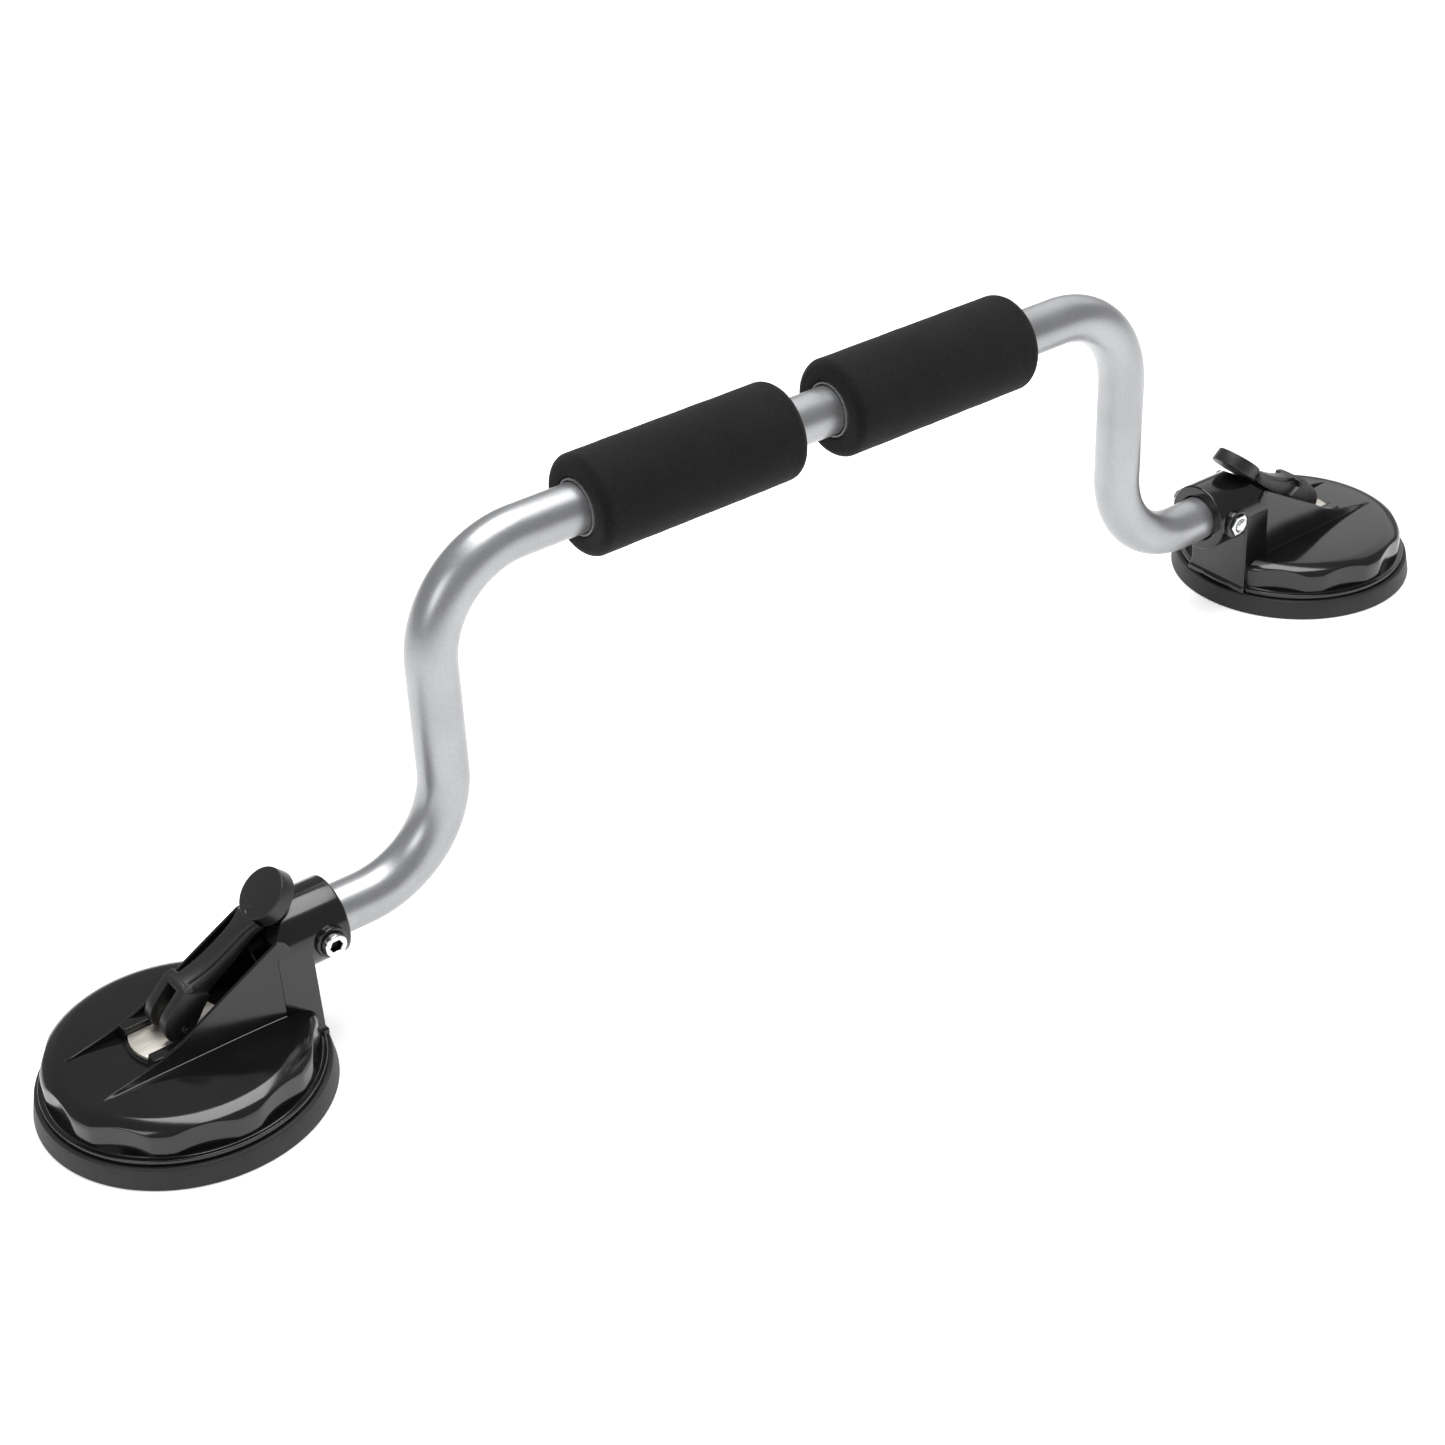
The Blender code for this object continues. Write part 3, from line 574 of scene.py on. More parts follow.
housing = {
    "flangeStep": 3.5, "flangeHeight": 2.4, "flangeEdge": 0.5, "footRing": 56.1, "footRise": 0.5,
    "lobes": 10, "lobeRadius": 55.8, "lobeHalf": 4.5, "hollow": 1.9, "softness": 0.16, "facets": 36,
    "wallTop": 20.5, "wallEase": 3.3, "shoulder": 49.0, "shoulderZ": 26.5, "shoulderEase": (3.7, -0.95),
    "crownEase": ((43.0, 27.1), (32.0, 27.6)), "crownRadius": 20.0, "crownZ": 27.6,
    "pedestal": 20.8, "pedestalZ": 28.8, "cavity": 49.0, "roofZ": 25.0, "studHole": 4.5,
    "railInner": 9.8, "railTop": 33.5, "railReach": 19.0, "railLean": 1.4,
}
fin = {
    "inner": 15.0, "wall": 1.5, "rim": 0.42, "foot": 0.2, "footSpread": 0.7, "fillet": 0.35,
    "nose": -41.8, "noseRise": 0.34, "bendU": -4.0, "bendOverPin": 2.2, "top": (40.6, 62.3),
    "gentleEase": ((-26.0, 3.1), (-15.0, -5.6)), "steepEase": ((6.0, 6.2), (26.0, -7.8)),
    "end": ((42.4, 63.1), (44.6, 62.3), (46.4, 57.5)),
}
collar = {
    "columnStart": 40.2, "columnFace": 56.0, "columnHalf": 17.0, "columnSpread": 1.2, "columnFlare": 0.9,
    "radius": 17.0, "bore": 11.6, "mouth": 74.0, "boreFloor": 45.5, "endRecess": 3.6, "screwU": 64.0,
    "bossHead": 6.9, "bossNut": 7.3, "bossEnd": 18.7, "bossEdge": 0.6, "counterbore": 5.35, "seat": 15.7,
    "drill": 3.3, "nutFlats": 10.0, "nutGap": 0.3, "nutSeat": 15.2,
    "knobReach": (44.9, 41.2), "knobTilt": 41.4, "knobBack": 8.8,
}


def crownProfile():
    # (r, w) from the top of the wall, over the tight shoulder, to the flat crown
    h = housing
    easeR, easeW = h["shoulderEase"]
    side = bezier([(h["lobeRadius"], h["wallTop"]), (h["lobeRadius"], h["wallTop"] + h["wallEase"]),
                   (h["shoulder"] + easeR, h["shoulderZ"] + easeW), (h["shoulder"], h["shoulderZ"])], 34)
    top = bezier([(h["shoulder"], h["shoulderZ"]), *h["crownEase"], (h["crownRadius"], h["crownZ"])], 14)
    return side + top[1:]


crown = crownProfile()


def crownHeight(r):
    # height of the housing's surface at a distance from the cup's axis
    if r <= crown[-1][0]:
        return crown[-1][1]
    for (r0, w0), (r1, w1) in zip(crown, crown[1:]):
        if r1 <= r <= r0:
            return w0 + (w1 - w0) * (r0 - r) / max(r0 - r1, 1e-6)
    return crown[0][1]


def scalloped(radius, turn):
    # the smaller of the turned profile and a wall with a shallow hollow between each two lobes
    h = housing
    pitch = 2 * math.pi / h["lobes"]
    edge = pitch / 2 - math.radians(h["lobeHalf"])
    off = abs((turn + pitch / 2) % pitch - pitch / 2)
    if off < edge:
        depth = h["hollow"] * math.cos(math.pi / 2 * off / edge)
    else:
        depth = -0.5 * (off - edge) / (pitch / 2 - edge)
    k = h["softness"]
    wall = h["lobeRadius"] - depth
    least = min(radius, wall)
    return least - k * math.log(math.exp((least - radius) / k) + math.exp((least - wall) / k))


def domeShell():
    h = housing
    sides = h["lobes"] * h["facets"]
    turns = [2 * math.pi * i / sides for i in range(sides)]
    flange = padRadius - h["flangeStep"]
    top = flangeLow + h["flangeHeight"]
    edge = h["flangeEdge"]
    plain = [(h["cavity"], flangeLow), (flange - edge, flangeLow)]
    plain += arcPoints((flange - edge, flangeLow + edge), edge, -70, 0, 4)
    plain += arcPoints((flange - edge, top - edge), edge, 0, 90, 6)
    plain += [(h["footRing"] + 0.35, top), (h["footRing"] + 0.1, top + 0.12), (h["footRing"], top + 0.3),
              (h["footRing"] - 0.15, top + h["footRise"])]
    rings = [[(r * math.cos(a), r * math.sin(a), w) for a in turns] for r, w in plain]
    foot = top + h["footRise"]
    wall = [(h["lobeRadius"], foot + (h["wallTop"] - foot) * i / 8) for i in range(8)] + crown
    for r, w in wall:
        rings.append([(scalloped(r, a) * math.cos(a), scalloped(r, a) * math.sin(a), w) for a in turns])
    inner = [(12.0, h["crownZ"]), (h["studHole"] + 0.3, h["crownZ"]), (h["studHole"], h["crownZ"] - 0.3),
             (h["studHole"], h["roofZ"]), (h["cavity"] - 20, h["roofZ"]), (h["cavity"] - 9, h["roofZ"] - 1.0),
             (h["cavity"] - 3, h["roofZ"] - 3.5), (h["cavity"], h["roofZ"] - 7.5)]
    rings += [[(r * math.cos(a), r * math.sin(a), w) for a in turns] for r, w in inner]
    return loft(rings, wrap=True)


def pedestalShell():
    # the low step the wear plate lies on, as wide as the gap between the fins
    h = housing
    turns = [2 * math.pi * i / 180 for i in range(180)]
    rings = []
    for pull, w in ((-0.25, h["crownZ"] - 0.1), (-0.06, h["crownZ"] + 0.12), (0.0, h["crownZ"] + 0.35),
                    (0.0, h["pedestalZ"] - 0.35), (0.1, h["pedestalZ"] - 0.1), (0.35, h["pedestalZ"])):
        rings.append([])
        for a in turns:
            r = min(h["pedestal"] - pull, (fin["inner"] + 0.2) / max(abs(math.sin(a)), 0.01))
            rings[-1].append((r * math.cos(a), r * math.sin(a), w))
    for r, w in ((h["studHole"] + 0.3, h["pedestalZ"]), (h["studHole"], h["pedestalZ"] - 0.3),
                 (h["studHole"], h["crownZ"] - 0.1)):
        rings.append([(r * math.cos(a), r * math.sin(a), w) for a in turns])
    return loft(rings, wrap=True)


def finCrest():
    # the crest's (u, w), from a blunt nose on the dome up to a rounded end against the collar
    f = fin
    nose = f["nose"]
    ground = crownHeight(math.hypot(nose, f["inner"]))
    start = [(nose - 0.4, ground - 0.6), (nose - 0.2, ground - 0.1), (nose, ground + 0.2)]
    tip = (nose + 0.4, ground + f["noseRise"])
    bend = (f["bendU"], pinZ + f["bendOverPin"])
    (u1, w1), (u2, w2) = f["gentleEase"]
    gentle = bezier([tip, (u1, tip[1] + w1), (u2, bend[1] + w2), bend], 22)
    (u1, w1), (u2, w2) = f["steepEase"]
    steep = bezier([bend, (u1, bend[1] + w1), (u2, f["top"][1] + w2), f["top"]], 20)
    over = bezier([f["top"], *f["end"]], 8)
    return start + gentle + steep[1:] + over[1:]


def finShell(side):
    # a thin wall under the crest that spreads a little to its foot, with a fine fillet there
    f = fin
    crest = finCrest()
    run = 41.4 - crest[0][0]
    inner = f["inner"]
    outer = inner + f["wall"]
    sections = []
    for u, w in crest:
        share = min((u - crest[0][0]) / run, 1.0)
        foot = outer + f["foot"] + f["footSpread"] * (1 - (1 - share) ** 4)
        ground = crownHeight(math.hypot(u, foot))
        rise = w - ground
        fillet = min(f["fillet"], 0.4 * rise) if rise > 0.12 else -0.1
        rim = min(f["rim"], max(rise, 0.1) * 0.5)
        profile = [(inner, ground - 3.0), (inner, w - rim)]
        profile += arcPoints((inner + rim, w - rim), rim, 180, 90, 4)[1:]
        profile += arcPoints((outer - rim, w - rim), rim, 90, 0, 4)
        profile += [(foot, ground + fillet), (foot + abs(fillet) * 0.25, ground + fillet * 0.33),
                    (foot + abs(fillet), ground - 0.05), (foot + abs(fillet), ground - 3.0)]
        sections.append([(u, side * v, z) for v, z in profile])
    return loft(sections)


def railShell(side):
    h = housing
    outline = [(-h["railReach"] - 0.4, h["crownZ"] - 2.5), (h["railReach"], h["crownZ"] - 2.5),
               (h["railReach"], h["railTop"]), (-h["railReach"] + h["railLean"], h["railTop"])]
    outline = softened(outline, [0, 0, 0.6, 0.6])
    near, far = sorted((side * h["railInner"], side * (fin["inner"] + 0.7)))
    return slab(outline, near, far, 0.4)


def columnShell():
    # the upright that carries the collar, flared where it stands on the flange
    c = collar
    sections = []
    foot = flangeLow + housing["flangeHeight"]
    levels = [flangeLow + 0.3, foot - 0.05, foot + 0.25, foot + 0.7, foot + 1.5, foot + 4, 30, 42, collarZ]
    for w in levels:
        share = max((collarZ - w) / (collarZ - flangeLow), 0)
        flare = c["columnFlare"] * max(0, 1 - (w - foot) / 1.5) ** 2 if w > foot else c["columnFlare"]
        half = c["columnHalf"] + c["columnSpread"] * share + flare
        face = c["columnFace"] + 0.35 * share + flare
        outline = softened([(c["columnStart"], -half), (face, -half), (face, half), (c["columnStart"], half)],
                           [0, 1.0, 1.0, 0], 6)
        sections.append([(u, v, w) for u, v in outline])
    return loft(sections)


def alongU(shell):
    return moved(shell, Matrix.Translation((0, 0, collarZ)) @ Matrix.Rotation(math.pi / 2, 4, "Y"))


def alongV(shell, u):
    return moved(shell, Matrix.Translation((u, 0, collarZ)) @ Matrix.Rotation(-math.pi / 2, 4, "X"))


def collarMesh():
    c = collar
    radius, bore, mouth, start = c["radius"], c["bore"], c["mouth"], c["columnStart"]
    profile = [(0, start), (radius, start)]
    profile += arcPoints((radius - 1.0, mouth - 1.0), 1.0, 0, 90, 6)
    profile += [(0, mouth)]
    tunnel = [(0, c["boreFloor"]), (bore, c["boreFloor"]), (bore, mouth - 0.7), (bore + 0.25, mouth - 0.2),
              (bore + 0.9, mouth + 0.3), (bore + 0.9, mouth + 2), (0, mouth + 2)]
    recess = [(0, start - 2), (bore + 0.4, start - 2), (bore + 0.4, start), (bore, start + 0.4),
              (bore, start + c["endRecess"]), (0, start + c["endRecess"])]
    # the slope behind the lever's knob
    tilt = math.radians(c["knobTilt"])
    backU = c["knobReach"][0] + c["knobBack"] * math.sin(tilt)
    backW = pinZ + c["knobReach"][1] - c["knobBack"] * math.cos(tilt)
    lowU, highU = start - 2, mouth
    lowW = backW + (lowU - backU) * math.tan(tilt)
    highW = backW + (highU - backU) * math.tan(tilt)
    wedge = slab([(lowU, lowW), (highU, highW), (lowU, highW)], -20, 20, 0.01)
    # bosses for the screw's head and nut, and their holes
    end, edge = c["bossEnd"], c["bossEdge"]
    bossHead = [(0, -end)] + arcPoints((c["bossHead"] - edge, edge - end), edge, -90, 0, 4)
    bossHead += [(c["bossHead"], 0), (0, 0)]
    bossNut = [(0, 0), (c["bossNut"], 0)] + arcPoints((c["bossNut"] - edge, end - edge), edge, 0, 90, 4)
    bossNut += [(0, end)]
    wide = c["counterbore"]
    headHole = [(0, -end - 1), (wide + 0.25, -end - 1), (wide + 0.25, -end), (wide, 0.3 - end),
                (wide, -c["seat"]), (0, -c["seat"])]
    drill = [(0, -end - 2), (c["drill"], -end - 2), (c["drill"], end + 2), (0, end + 2)]
    nutRadius = c["nutFlats"] / 2 / math.cos(math.pi / 6) + c["nutGap"]
    pocket = [(0, c["nutSeat"]), (nutRadius, c["nutSeat"]), (nutRadius, end + 1), (0, end + 1)]
    u = c["screwU"]
    return carved("collar", alongU(turned(profile, 128)), [
        ("UNION", columnShell()),
        ("DIFFERENCE", wedge),
        ("DIFFERENCE", alongU(turned(recess, 96))),
        ("UNION", alongV(turned(bossHead, 72), u)),
        ("UNION", alongV(turned(bossNut, 72), u)),
        ("DIFFERENCE", alongU(turned(tunnel, 96))),
        ("DIFFERENCE", alongV(turned(drill, 48), u)),
        ("DIFFERENCE", alongV(turned(headHole, 64), u)),
        ("DIFFERENCE", alongV(turned(pocket, 6), u)),
    ])


def housingMesh():
    shells = [domeShell(), pedestalShell(), finShell(-1), finShell(1), railShell(-1), railShell(1)]
    return together("housing", [meshFrom("housing", shells), collarMesh()])


bothCups("cupHousing", housingMesh(), [finish["abs"]], "frame", "cup_housing", 28)
print("housings made")


# Suction pad

pad = {
    "lip": 46.0, "taper": 1.5, "height": 9.7, "recess": 1.0, "web": 3.0, "spigot": 48.7, "spigotRise": 3.5,
    "edge": 0.9, "sides": 240,
}


def padMesh():
    p = pad
    lip, edge = p["lip"], p["edge"]
    under = padLow + p["recess"]
    top = padLow + p["height"]
    rim = padRadius - p["taper"] - edge
    profile = [(0, under), (lip - 3, under), (lip - 1.2, padLow + 0.75), (lip, padLow + 0.1),
               (lip + 0.6, padLow)]
    profile += arcPoints((padRadius - edge, padLow + edge), edge, -90, 0, 6)
    profile += arcPoints((rim, top - edge), edge, 8, 90, 6)
    profile += [(rim - 1.0, top), (rim - 1.2, top - 0.05), (p["spigot"], top - 0.05),
                (p["spigot"], top + p["spigotRise"]), (lip, top + p["spigotRise"]),
                (lip, under + p["web"]), (0, under + p["web"])]
    return meshFrom("pad", [turned(profile, p["sides"])])


bothCups("suctionPad", padMesh(), [finish["rubber"]], "frame", "suction_pad")


# Wear plate, stud and pin

plate = {"radius": 19.5, "halfWidth": 9.5, "edge": 0.2, "hole": 4.5}
stud = {"radius": 4.0, "eye": 5.0, "eyeWidth": 6.4, "pinHole": 1.8, "shoulder": 7.0, "foot": 4.3, "seat": 6.6}


def wearPlateMesh():
    p = plate
    corner = math.degrees(math.asin(p["halfWidth"] / p["radius"]))
    outline = arcPoints((0, 0), p["radius"], -corner, corner, 24)
    outline += arcPoints((0, 0), p["radius"], 180 - corner, 180 + corner, 24)
    rings = []
    for w, pull in ((plateLow, p["edge"]), (plateLow + p["edge"], 0), (plateHigh - p["edge"], 0),
                    (plateHigh - p["edge"] * 0.3, p["edge"] * 0.3), (plateHigh, p["edge"])):
        rings.append([(u, v, w) for u, v in inset(outline, pull)])
    hole = [(0, plateLow - 1), (p["hole"], plateLow - 1), (p["hole"], plateHigh - 0.2),
            (p["hole"] + 0.4, plateHigh + 0.2), (0, plateHigh + 0.2)]
    return carved("plate", loft(rings), [("DIFFERENCE", turned(hole, 64))])


def studMesh():
    s = stud
    eyeHalf = s["eyeWidth"] / 2
    shank = [(0, s["foot"]), (s["radius"], s["foot"]), (s["radius"], s["seat"]), (s["shoulder"], s["seat"]),
             (s["shoulder"], s["seat"] + 2), (s["radius"], s["seat"] + 2), (s["radius"], pinZ - 2),
             (0, pinZ - 2)]
    low = plateLow - stroke
    wide = s["radius"] + 2
    cheek = softened([(-wide, low), (wide, low), (wide, pinZ), (-wide, pinZ)], 0)
    eyeProfile = [(0, -eyeHalf)] + arcPoints((s["eye"] - 0.5, 0.5 - eyeHalf), 0.5, -90, 0, 4)
    eyeProfile += arcPoints((s["eye"] - 0.5, eyeHalf - 0.5), 0.5, 0, 90, 4) + [(0, eyeHalf)]
    across = Matrix.Translation((0, 0, pinZ)) @ Matrix.Rotation(-math.pi / 2, 4, "X")
    hole = [(0, -wide), (s["pinHole"], -wide), (s["pinHole"], wide), (0, wide)]
    return carved("stud", turned(shank, 64), [
        ("DIFFERENCE", slab(cheek, eyeHalf, eyeHalf + wide, 0.01)),
        ("DIFFERENCE", slab(cheek, -eyeHalf - wide, -eyeHalf, 0.01)),
        ("UNION", moved(turned(eyeProfile, 64), across)),
        ("DIFFERENCE", moved(turned(hole, 40), across)),
    ])


def pinMesh():
    low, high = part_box("lever_pin_left")
    half = (high.y - low.y) * 500
    radius = (high.z - low.z) * 500
    profile = [(0, -half)] + arcPoints((radius - 0.3, 0.3 - half), 0.3, -90, 0, 3)
    profile += arcPoints((radius - 0.3, half - 0.3), 0.3, 0, 90, 3) + [(0, half)]
    across = Matrix.Translation((0, 0, pinZ)) @ Matrix.Rotation(-math.pi / 2, 4, "X")
    return meshFrom("pin", [moved(turned(profile, 40), across)])


bothCups("wearPlate", wearPlateMesh(), [finish["plate"]], "frame", "wear_plate")
bothCups("pullStud", studMesh(), [finish["plate"]], "stud", "pull_stud")
bothCups("leverPin", pinMesh(), [finish["zinc"]], "stud", "lever_pin")
print("pads, plates, studs and pins made")


# Cam lever, about its pin

lever = {
    "forkHalf": 8.5, "slotHalf": 3.5, "pinHole": 1.8, "heel": (13.0, 11.3), "plateau": (2.1, 2.1),
    "camBase": 4.2, "edge": 0.3, "spine": 4.0, "spineDrop": 1.7, "flank": 5.4, "stemEdge": 0.3,
    "tailShare": 0.13, "tailFlare": 2.6, "neckShare": 0.72, "neckFlare": 2.6,
    "over": ((2.8, 17.9), (15.0, 19.5), (26.2, 26.5), (37.2, 34.2)),
    "under": ((11.6, 9.6), (20.5, 14.6), (31.0, 21.6), (40.6, 30.6)),
    "web": ((6.6, -0.4), (13.0, 11.2), (2.5, 17.3), (6.5, 3.0)),
    "bridge": ((1.5, 15.6), (1.6, 16.7), (2.5, 17.6), (5.0, 18.3), (6.6, 18.2), (7.0, 15.0), (4.0, 13.6)),
    "knobRadius": 11.5, "knobFlare": 0.6, "knobThickness": 7.0, "knobEdge": 0.8,
    "dimple": 2.0, "dimpleU": -8.2,
}


def camOutline():
    # a spiral that lifts the pin evenly as the lever is thrown, closed by the plateau and the heel
    l = lever
    rate = stroke / throw
    points = arcPoints((0, 0), l["camBase"], -35, -90, 8)
    for i in range(1, 41):
        turn = throw * i / 40
        lift = l["camBase"] + rate * turn
        points.append((-lift * math.sin(turn) - rate * math.cos(turn),
                       -lift * math.cos(turn) + rate * math.sin(turn)))
    edge = math.sqrt(2) * (l["camBase"] + stroke)
    plateau = (l["plateau"][0], edge + l["plateau"][1])
    corners = softened([points[-1], plateau, l["heel"], points[0]], [0, 0.35, 0.8, 0])
    return points[:-1] + corners[:-1]


def spineWidth(share):
    # narrow in the middle, spread like a tail over the fork and flared into the knob
    l = lever
    tail = max(0.0, 1 - share / l["tailShare"])
    neck = max(0.0, (share - l["neckShare"]) / (1 - l["neckShare"]))
    return l["spine"] + l["tailFlare"] * tail ** 2.0 + l["neckFlare"] * neck ** 2.4


def stemShell(drop, extra, bottom):
    # a bar along the spine's curve whose sides follow the spine's width
    l = lever
    edge = l["stemEdge"]
    curve = bezier(l["over"], 28)
    under = bezier(l["under"], 28)
    sections = []
    for i, (u, w) in enumerate(curve):
        half = min(spineWidth(i / 28) + extra, l["forkHalf"] - 0.05)
        ahead = curve[min(i + 1, 28)]
        behind = curve[max(i - 1, 0)]
        along = Vector((ahead[0] - behind[0], ahead[1] - behind[1])).normalized()
        up = Vector((-along.y, along.x))
        top = Vector((u, w)) - up * drop
        base = Vector(under[i]) if bottom is None else top - up * bottom
        corner = [(top, half - edge), (top - up * edge * 0.3, half - edge * 0.3), (top - up * edge, half)]
        ring = [(p.x, v, p.y) for p, v in corner]
        ring += [(base.x, half, base.y), (base.x, -half, base.y)]
        ring += [(p.x, -v, p.y) for p, v in reversed(corner)]
        sections.append(ring)
    return loft(sections)


def knobShell():
    l = lever
    r = l["knobRadius"]
    t = l["knobThickness"]
    e = l["knobEdge"]
    profile = [(0, -t)] + arcPoints((r + l["knobFlare"] - e, e - t), e, -90, 0, 5)
    profile += arcPoints((r - e * 0.6, -e * 0.6), e * 0.6, 0, 90, 5) + [(0, 0)]
    return moved(turned(profile, 96), knobMatrix())


def knobMatrix():
    u, w = collar["knobReach"]
    return Matrix.Translation((u, 0, w)) @ Matrix.Rotation(-math.radians(collar["knobTilt"]), 4, "Y")


def leverMesh():
    l = lever
    outline = camOutline()
    hole = [(0, -12), (l["pinHole"], -12), (l["pinHole"], 12), (0, 12)]
    across = Matrix.Rotation(-math.pi / 2, 4, "X")
    parts = []
    for low, high in ((l["slotHalf"], l["forkHalf"]), (-l["forkHalf"], -l["slotHalf"])):
        cheek = slab(outline, low, high, l["edge"])
        parts.append(carved("cheek", cheek, [("DIFFERENCE", moved(turned(hole, 40), across))]))
    web = softened(l["web"], [0, 0.6, 0.6, 0.8])
    webHalf = l["slotHalf"] + 0.6
    bridge = softened(l["bridge"], [0.2, 0.3, 0.4, 0.6, 0.6, 0.4, 0.4])
    bridgeHalf = l["forkHalf"] - 0.05
    parts.append(meshFrom("stem", [
        slab(bridge, -bridgeHalf, bridgeHalf, 0.5),
        slab(web, -webHalf, webHalf, 0.1),
        stemShell(0.0, 0.0, l["spineDrop"] + 2),
        stemShell(l["spineDrop"], l["flank"] - l["spine"], None),
    ]))
    dimple = [(0, 1)] + [(l["dimple"], 1), (l["dimple"], 0.05), (l["dimple"] - 0.4, -0.35), (0, -0.45)]
    spot = knobMatrix() @ Matrix.Translation((l["dimpleU"], 0, 0))
    parts.append(carved("knob", knobShell(), [("DIFFERENCE", moved(turned(dimple, 32), spot))]))
    mesh = together("lever", parts)
    mesh.transform(Matrix.Translation((0, 0, pinZ)))
    return mesh


bothCups("camLever", leverMesh(), [finish["nylon"]], "lever", "cam_lever", 30)
print("levers made")


# Clamp screw and nut

screw = {
    "radius": 3.0, "head": 5.0, "headEdge": 0.55, "face": -22.0, "seat": -16.0, "hex": 5.0, "tip": 21.3,
    "pitch": 1.0, "turns": 7.0, "thread": 0.4,
}
nut = {"low": 15.3, "high": 20.3, "hole": 3.3}


def threadTree():
    tree = bpy.data.node_groups.new("screw thread", "GeometryNodeTree")
    for name, kind in (("Radius", "Float"), ("Pitch", "Float"), ("Turns", "Float"), ("Depth", "Float"),
                       ("Finish", "Material")):
        tree.interface.new_socket(name, in_out="INPUT", socket_type="NodeSocket" + kind)
    tree.interface.new_socket("Geometry", in_out="OUTPUT", socket_type="NodeSocketGeometry")
    given = addNode(tree, "NodeGroupInput").outputs
    height = addNode(tree, "ShaderNodeMath", {"operation": "MULTIPLY"}, links={
        0: given["Pitch"], 1: given["Turns"]})
    helix = addNode(tree, "GeometryNodeCurveSpiral", values={"Resolution": 40}, links={
        "Rotations": given["Turns"], "Start Radius": given["Radius"], "End Radius": given["Radius"],
        "Height": height.outputs["Value"]})
    ridge = addNode(tree, "GeometryNodeCurvePrimitiveCircle", values={"Resolution": 4}, links={
        "Radius": given["Depth"]})
    skin = addNode(tree, "GeometryNodeCurveToMesh", values={"Fill Caps": True}, links={
        "Curve": helix.outputs["Curve"], "Profile Curve": ridge.outputs["Curve"]})
    real = addNode(tree, "GeometryNodeRealizeInstances", links={"Geometry": skin.outputs["Mesh"]})
    coloured = addNode(tree, "GeometryNodeSetMaterial", links={
        "Geometry": real.outputs["Geometry"], "Material": given["Finish"]})
    addNode(tree, "NodeGroupOutput", links={"Geometry": coloured.outputs["Geometry"]})
    return tree


def threadMesh():
    host = bpy.data.objects.new("thread", bpy.data.meshes.new("thread"))
    bpy.context.scene.collection.objects.link(host)
    tree = threadTree()
    winding = host.modifiers.new("winding", "NODES")
    winding.node_group = tree
    sizes = {"Radius": screw["radius"] - screw["thread"] - 0.02, "Pitch": screw["pitch"],
             "Turns": screw["turns"], "Depth": screw["thread"], "Finish": finish["zinc"]}
    for name, value in sizes.items():
        winding[socketId(tree, name)] = value
    mesh = evaluated(host)
    bpy.data.objects.remove(host, do_unlink=True)
    mesh.transform(Matrix.Translation((0, 0, screw["tip"] - 7.4)))
    return mesh


def screwMesh():
    s = screw
    radius, face, seat, tip, edge = s["radius"], s["face"], s["seat"], s["tip"], s["headEdge"]
    head = [(0, face), (s["head"] - edge - 0.15, face)]
    head += arcPoints((s["head"] - edge, face + edge), edge, -90, 0, 5)
    head += [(s["head"], seat - 0.15), (s["head"] - 0.15, seat), (0, seat)]
    shank = [(0, seat - 1), (radius, seat - 1), (radius, tip - 7.2), (radius - 0.5, tip - 6.9),
             (radius - 0.5, tip - 0.4), (radius - 1.0, tip), (0, tip)]
    key = s["hex"] / 2 / math.cos(math.pi / 6)
    socket = [(0, face - 1), (key + 0.9, face - 1), (key + 0.35, face - 0.1), (key, face + 0.35),
              (key, face + 3), (0, face + 3.9)]
    body = carved("screw", turned(head, 72), [
        ("UNION", turned(shank, 48)),
        ("DIFFERENCE", turned(socket, 6)),
    ])
    mesh = together("screw", [body, threadMesh()])
    mesh.materials.clear()
    mesh.materials.append(finish["zinc"])
    mesh.materials.append(finish["socket"])
    # faces inside the key socket get the near-black material, which is painted shade
    for side in mesh.polygons:
        at = side.center
        paintedShadeFace = math.hypot(at.x, at.y) < key + 0.05 and face + 0.2 < at.z < seat
        side.material_index = 1 if paintedShadeFace else 0
    mesh.transform(acrossCollar())
    return mesh


def acrossCollar():
    # from a fastener's own axis to the screw hole's place
    return Matrix.Translation((collar["screwU"], 0, collarZ)) @ Matrix.Rotation(-math.pi / 2, 4, "X")


def nutMesh():
    low, high, hole = nut["low"], nut["high"], nut["hole"]
    flat = collar["nutFlats"] / 2
    corner = flat / math.cos(math.pi / 6)
    keep = [(0, low), (flat - 0.1, low), (corner + 0.05, low + 0.55), (corner + 0.05, high - 0.55),
            (flat - 0.1, high), (0, high)]
    tunnel = [(0, low - 1), (hole, low - 1), (hole, high - 0.5), (hole + 0.5, high + 0.01),
              (hole + 0.5, high + 1), (0, high + 1)]
    mesh = carved("nut", turned([(corner, low), (corner, high)], 6), [
        ("INTERSECT", turned(keep, 72)),
        ("DIFFERENCE", turned(tunnel, 48)),
    ])
    mesh.transform(acrossCollar())
    return mesh


# the screw's second finish is the painted shade inside its key socket
bothCups("clampScrew", screwMesh(), [finish["zinc"], finish["socket"]], "frame", "clamp_screw")
bothCups("clampNut", nutMesh(), [finish["zinc"]], "frame", "clamp_nut")
for side in ("left", "right"):
    liftPlate = frame["nodes"]["lift_plate_" + side]
    for materialSlot in liftPlate.material_slots:
        materialSlot.material = finish["plate"]
print("screws and nuts made")


# Floor, light and camera

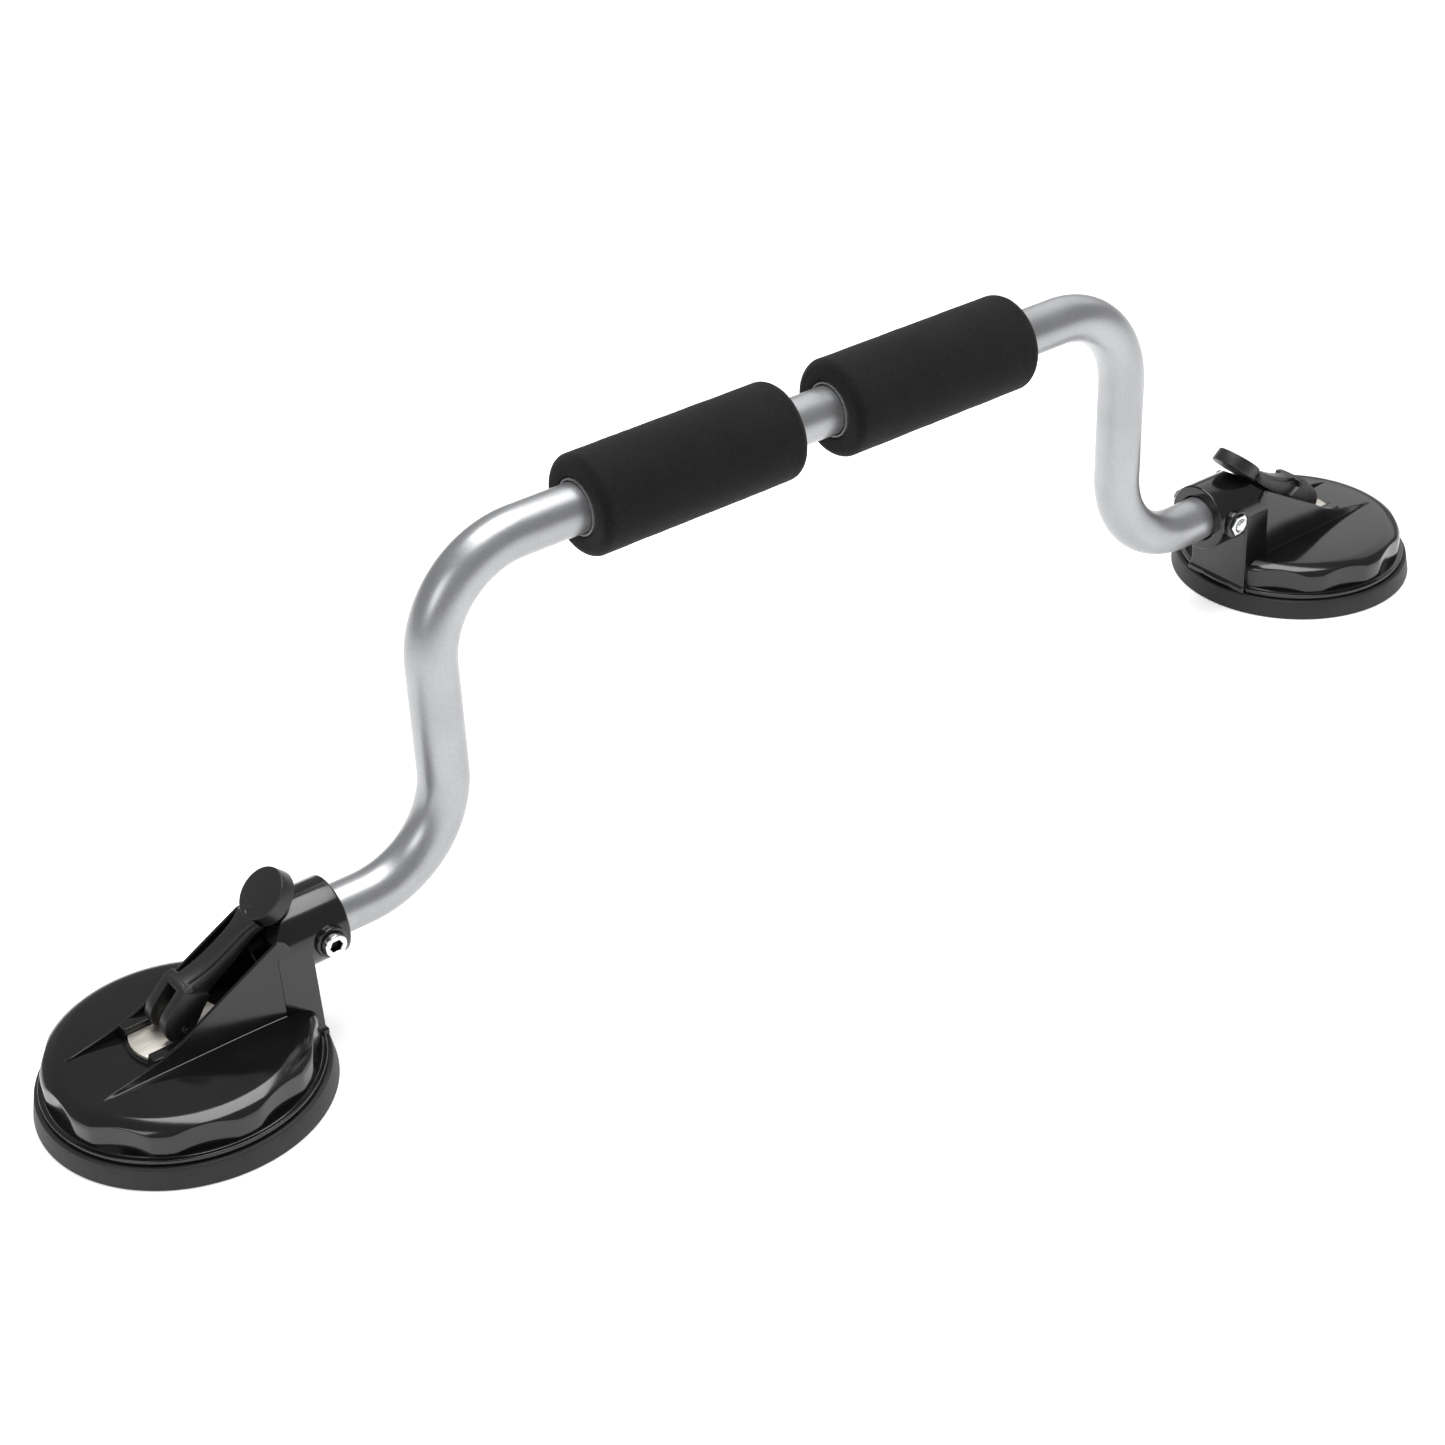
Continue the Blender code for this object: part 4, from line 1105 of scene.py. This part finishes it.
studio = {
    "floor": "#f4f4f4", "floorGlow": 0.45, "floorHalf": 6.0, "world": "#ffffff", "worldStrength": 0.33,
    "cameraPlace": (-0.65197, -0.80390, 0.69577), "yaw": 36.81, "pitch": 32.40, "roll": 2.47, "lens": 66.29,
}
softboxes = {    # place, aim, size in metres and power in watts
    "topSoftbox": ((0.1, 0.12, 1.7), (0.1, 0.12, 0), (1.1, 1.5), 34),
    "backCard": ((2.7, 1.4, 2.1), (0.3, 0, 0), (3.4, 2.4), 22),
    "sideSoftbox": ((-1.9, -0.5, 1.3), (0, 0, 0.1), (0.8, 1.0), 9),
}


def makeFloor():
    mesh = bpy.data.meshes.new("floor")
    half = studio["floorHalf"]
    corners = [(-half, -half, 0), (half, -half, 0), (half, half, 0), (-half, half, 0)]
    mesh.from_pydata(corners, [], [(0, 1, 2, 3)])
    mesh.materials.append(startMaterial("matt studio floor", {
        "Base Color": hexColour(studio["floor"]), "Roughness": 0.9, "Specular IOR Level": 0.1,
        "Emission Color": hexColour(studio["floor"]), "Emission Strength": studio["floorGlow"]})[0])
    floor = bpy.data.objects.new("studioFloor", mesh)
    bpy.context.scene.collection.objects.link(floor)


def softbox(name, place, aim, size, power):
    lamp = bpy.data.lights.new(name, "AREA")
    lamp.shape = "RECTANGLE"
    lamp.size, lamp.size_y = size
    lamp.energy = power
    item = bpy.data.objects.new(name, lamp)
    item.location = place
    item.rotation_euler = (Vector(aim) - Vector(place)).to_track_quat("-Z", "Y").to_euler()
    bpy.context.scene.collection.objects.link(item)


def makeStudio():
    world = bpy.data.worlds.new("studio air")
    world.use_nodes = True
    world.node_tree.nodes["Background"].inputs["Color"].default_value = hexColour(studio["world"])
    world.node_tree.nodes["Background"].inputs["Strength"].default_value = studio["worldStrength"]
    bpy.context.scene.world = world
    for name, (place, aim, size, power) in softboxes.items():
        softbox(name, place, aim, size, power)
    lens = bpy.data.cameras.new("camera")
    lens.lens = studio["lens"]
    lens.sensor_width = 36
    camera = bpy.data.objects.new("camera", lens)
    turn = (Matrix.Rotation(-math.radians(studio["yaw"]), 4, "Z")
            @ Matrix.Rotation(math.radians(90 - studio["pitch"]), 4, "X")
            @ Matrix.Rotation(-math.radians(studio["roll"]), 4, "Z"))
    camera.matrix_world = Matrix.Translation(studio["cameraPlace"]) @ turn
    bpy.context.scene.collection.objects.link(camera)
    bpy.context.scene.camera = camera
    bpy.context.scene.view_settings.view_transform = "Standard"


makeFloor()
makeStudio()
print("studio set")
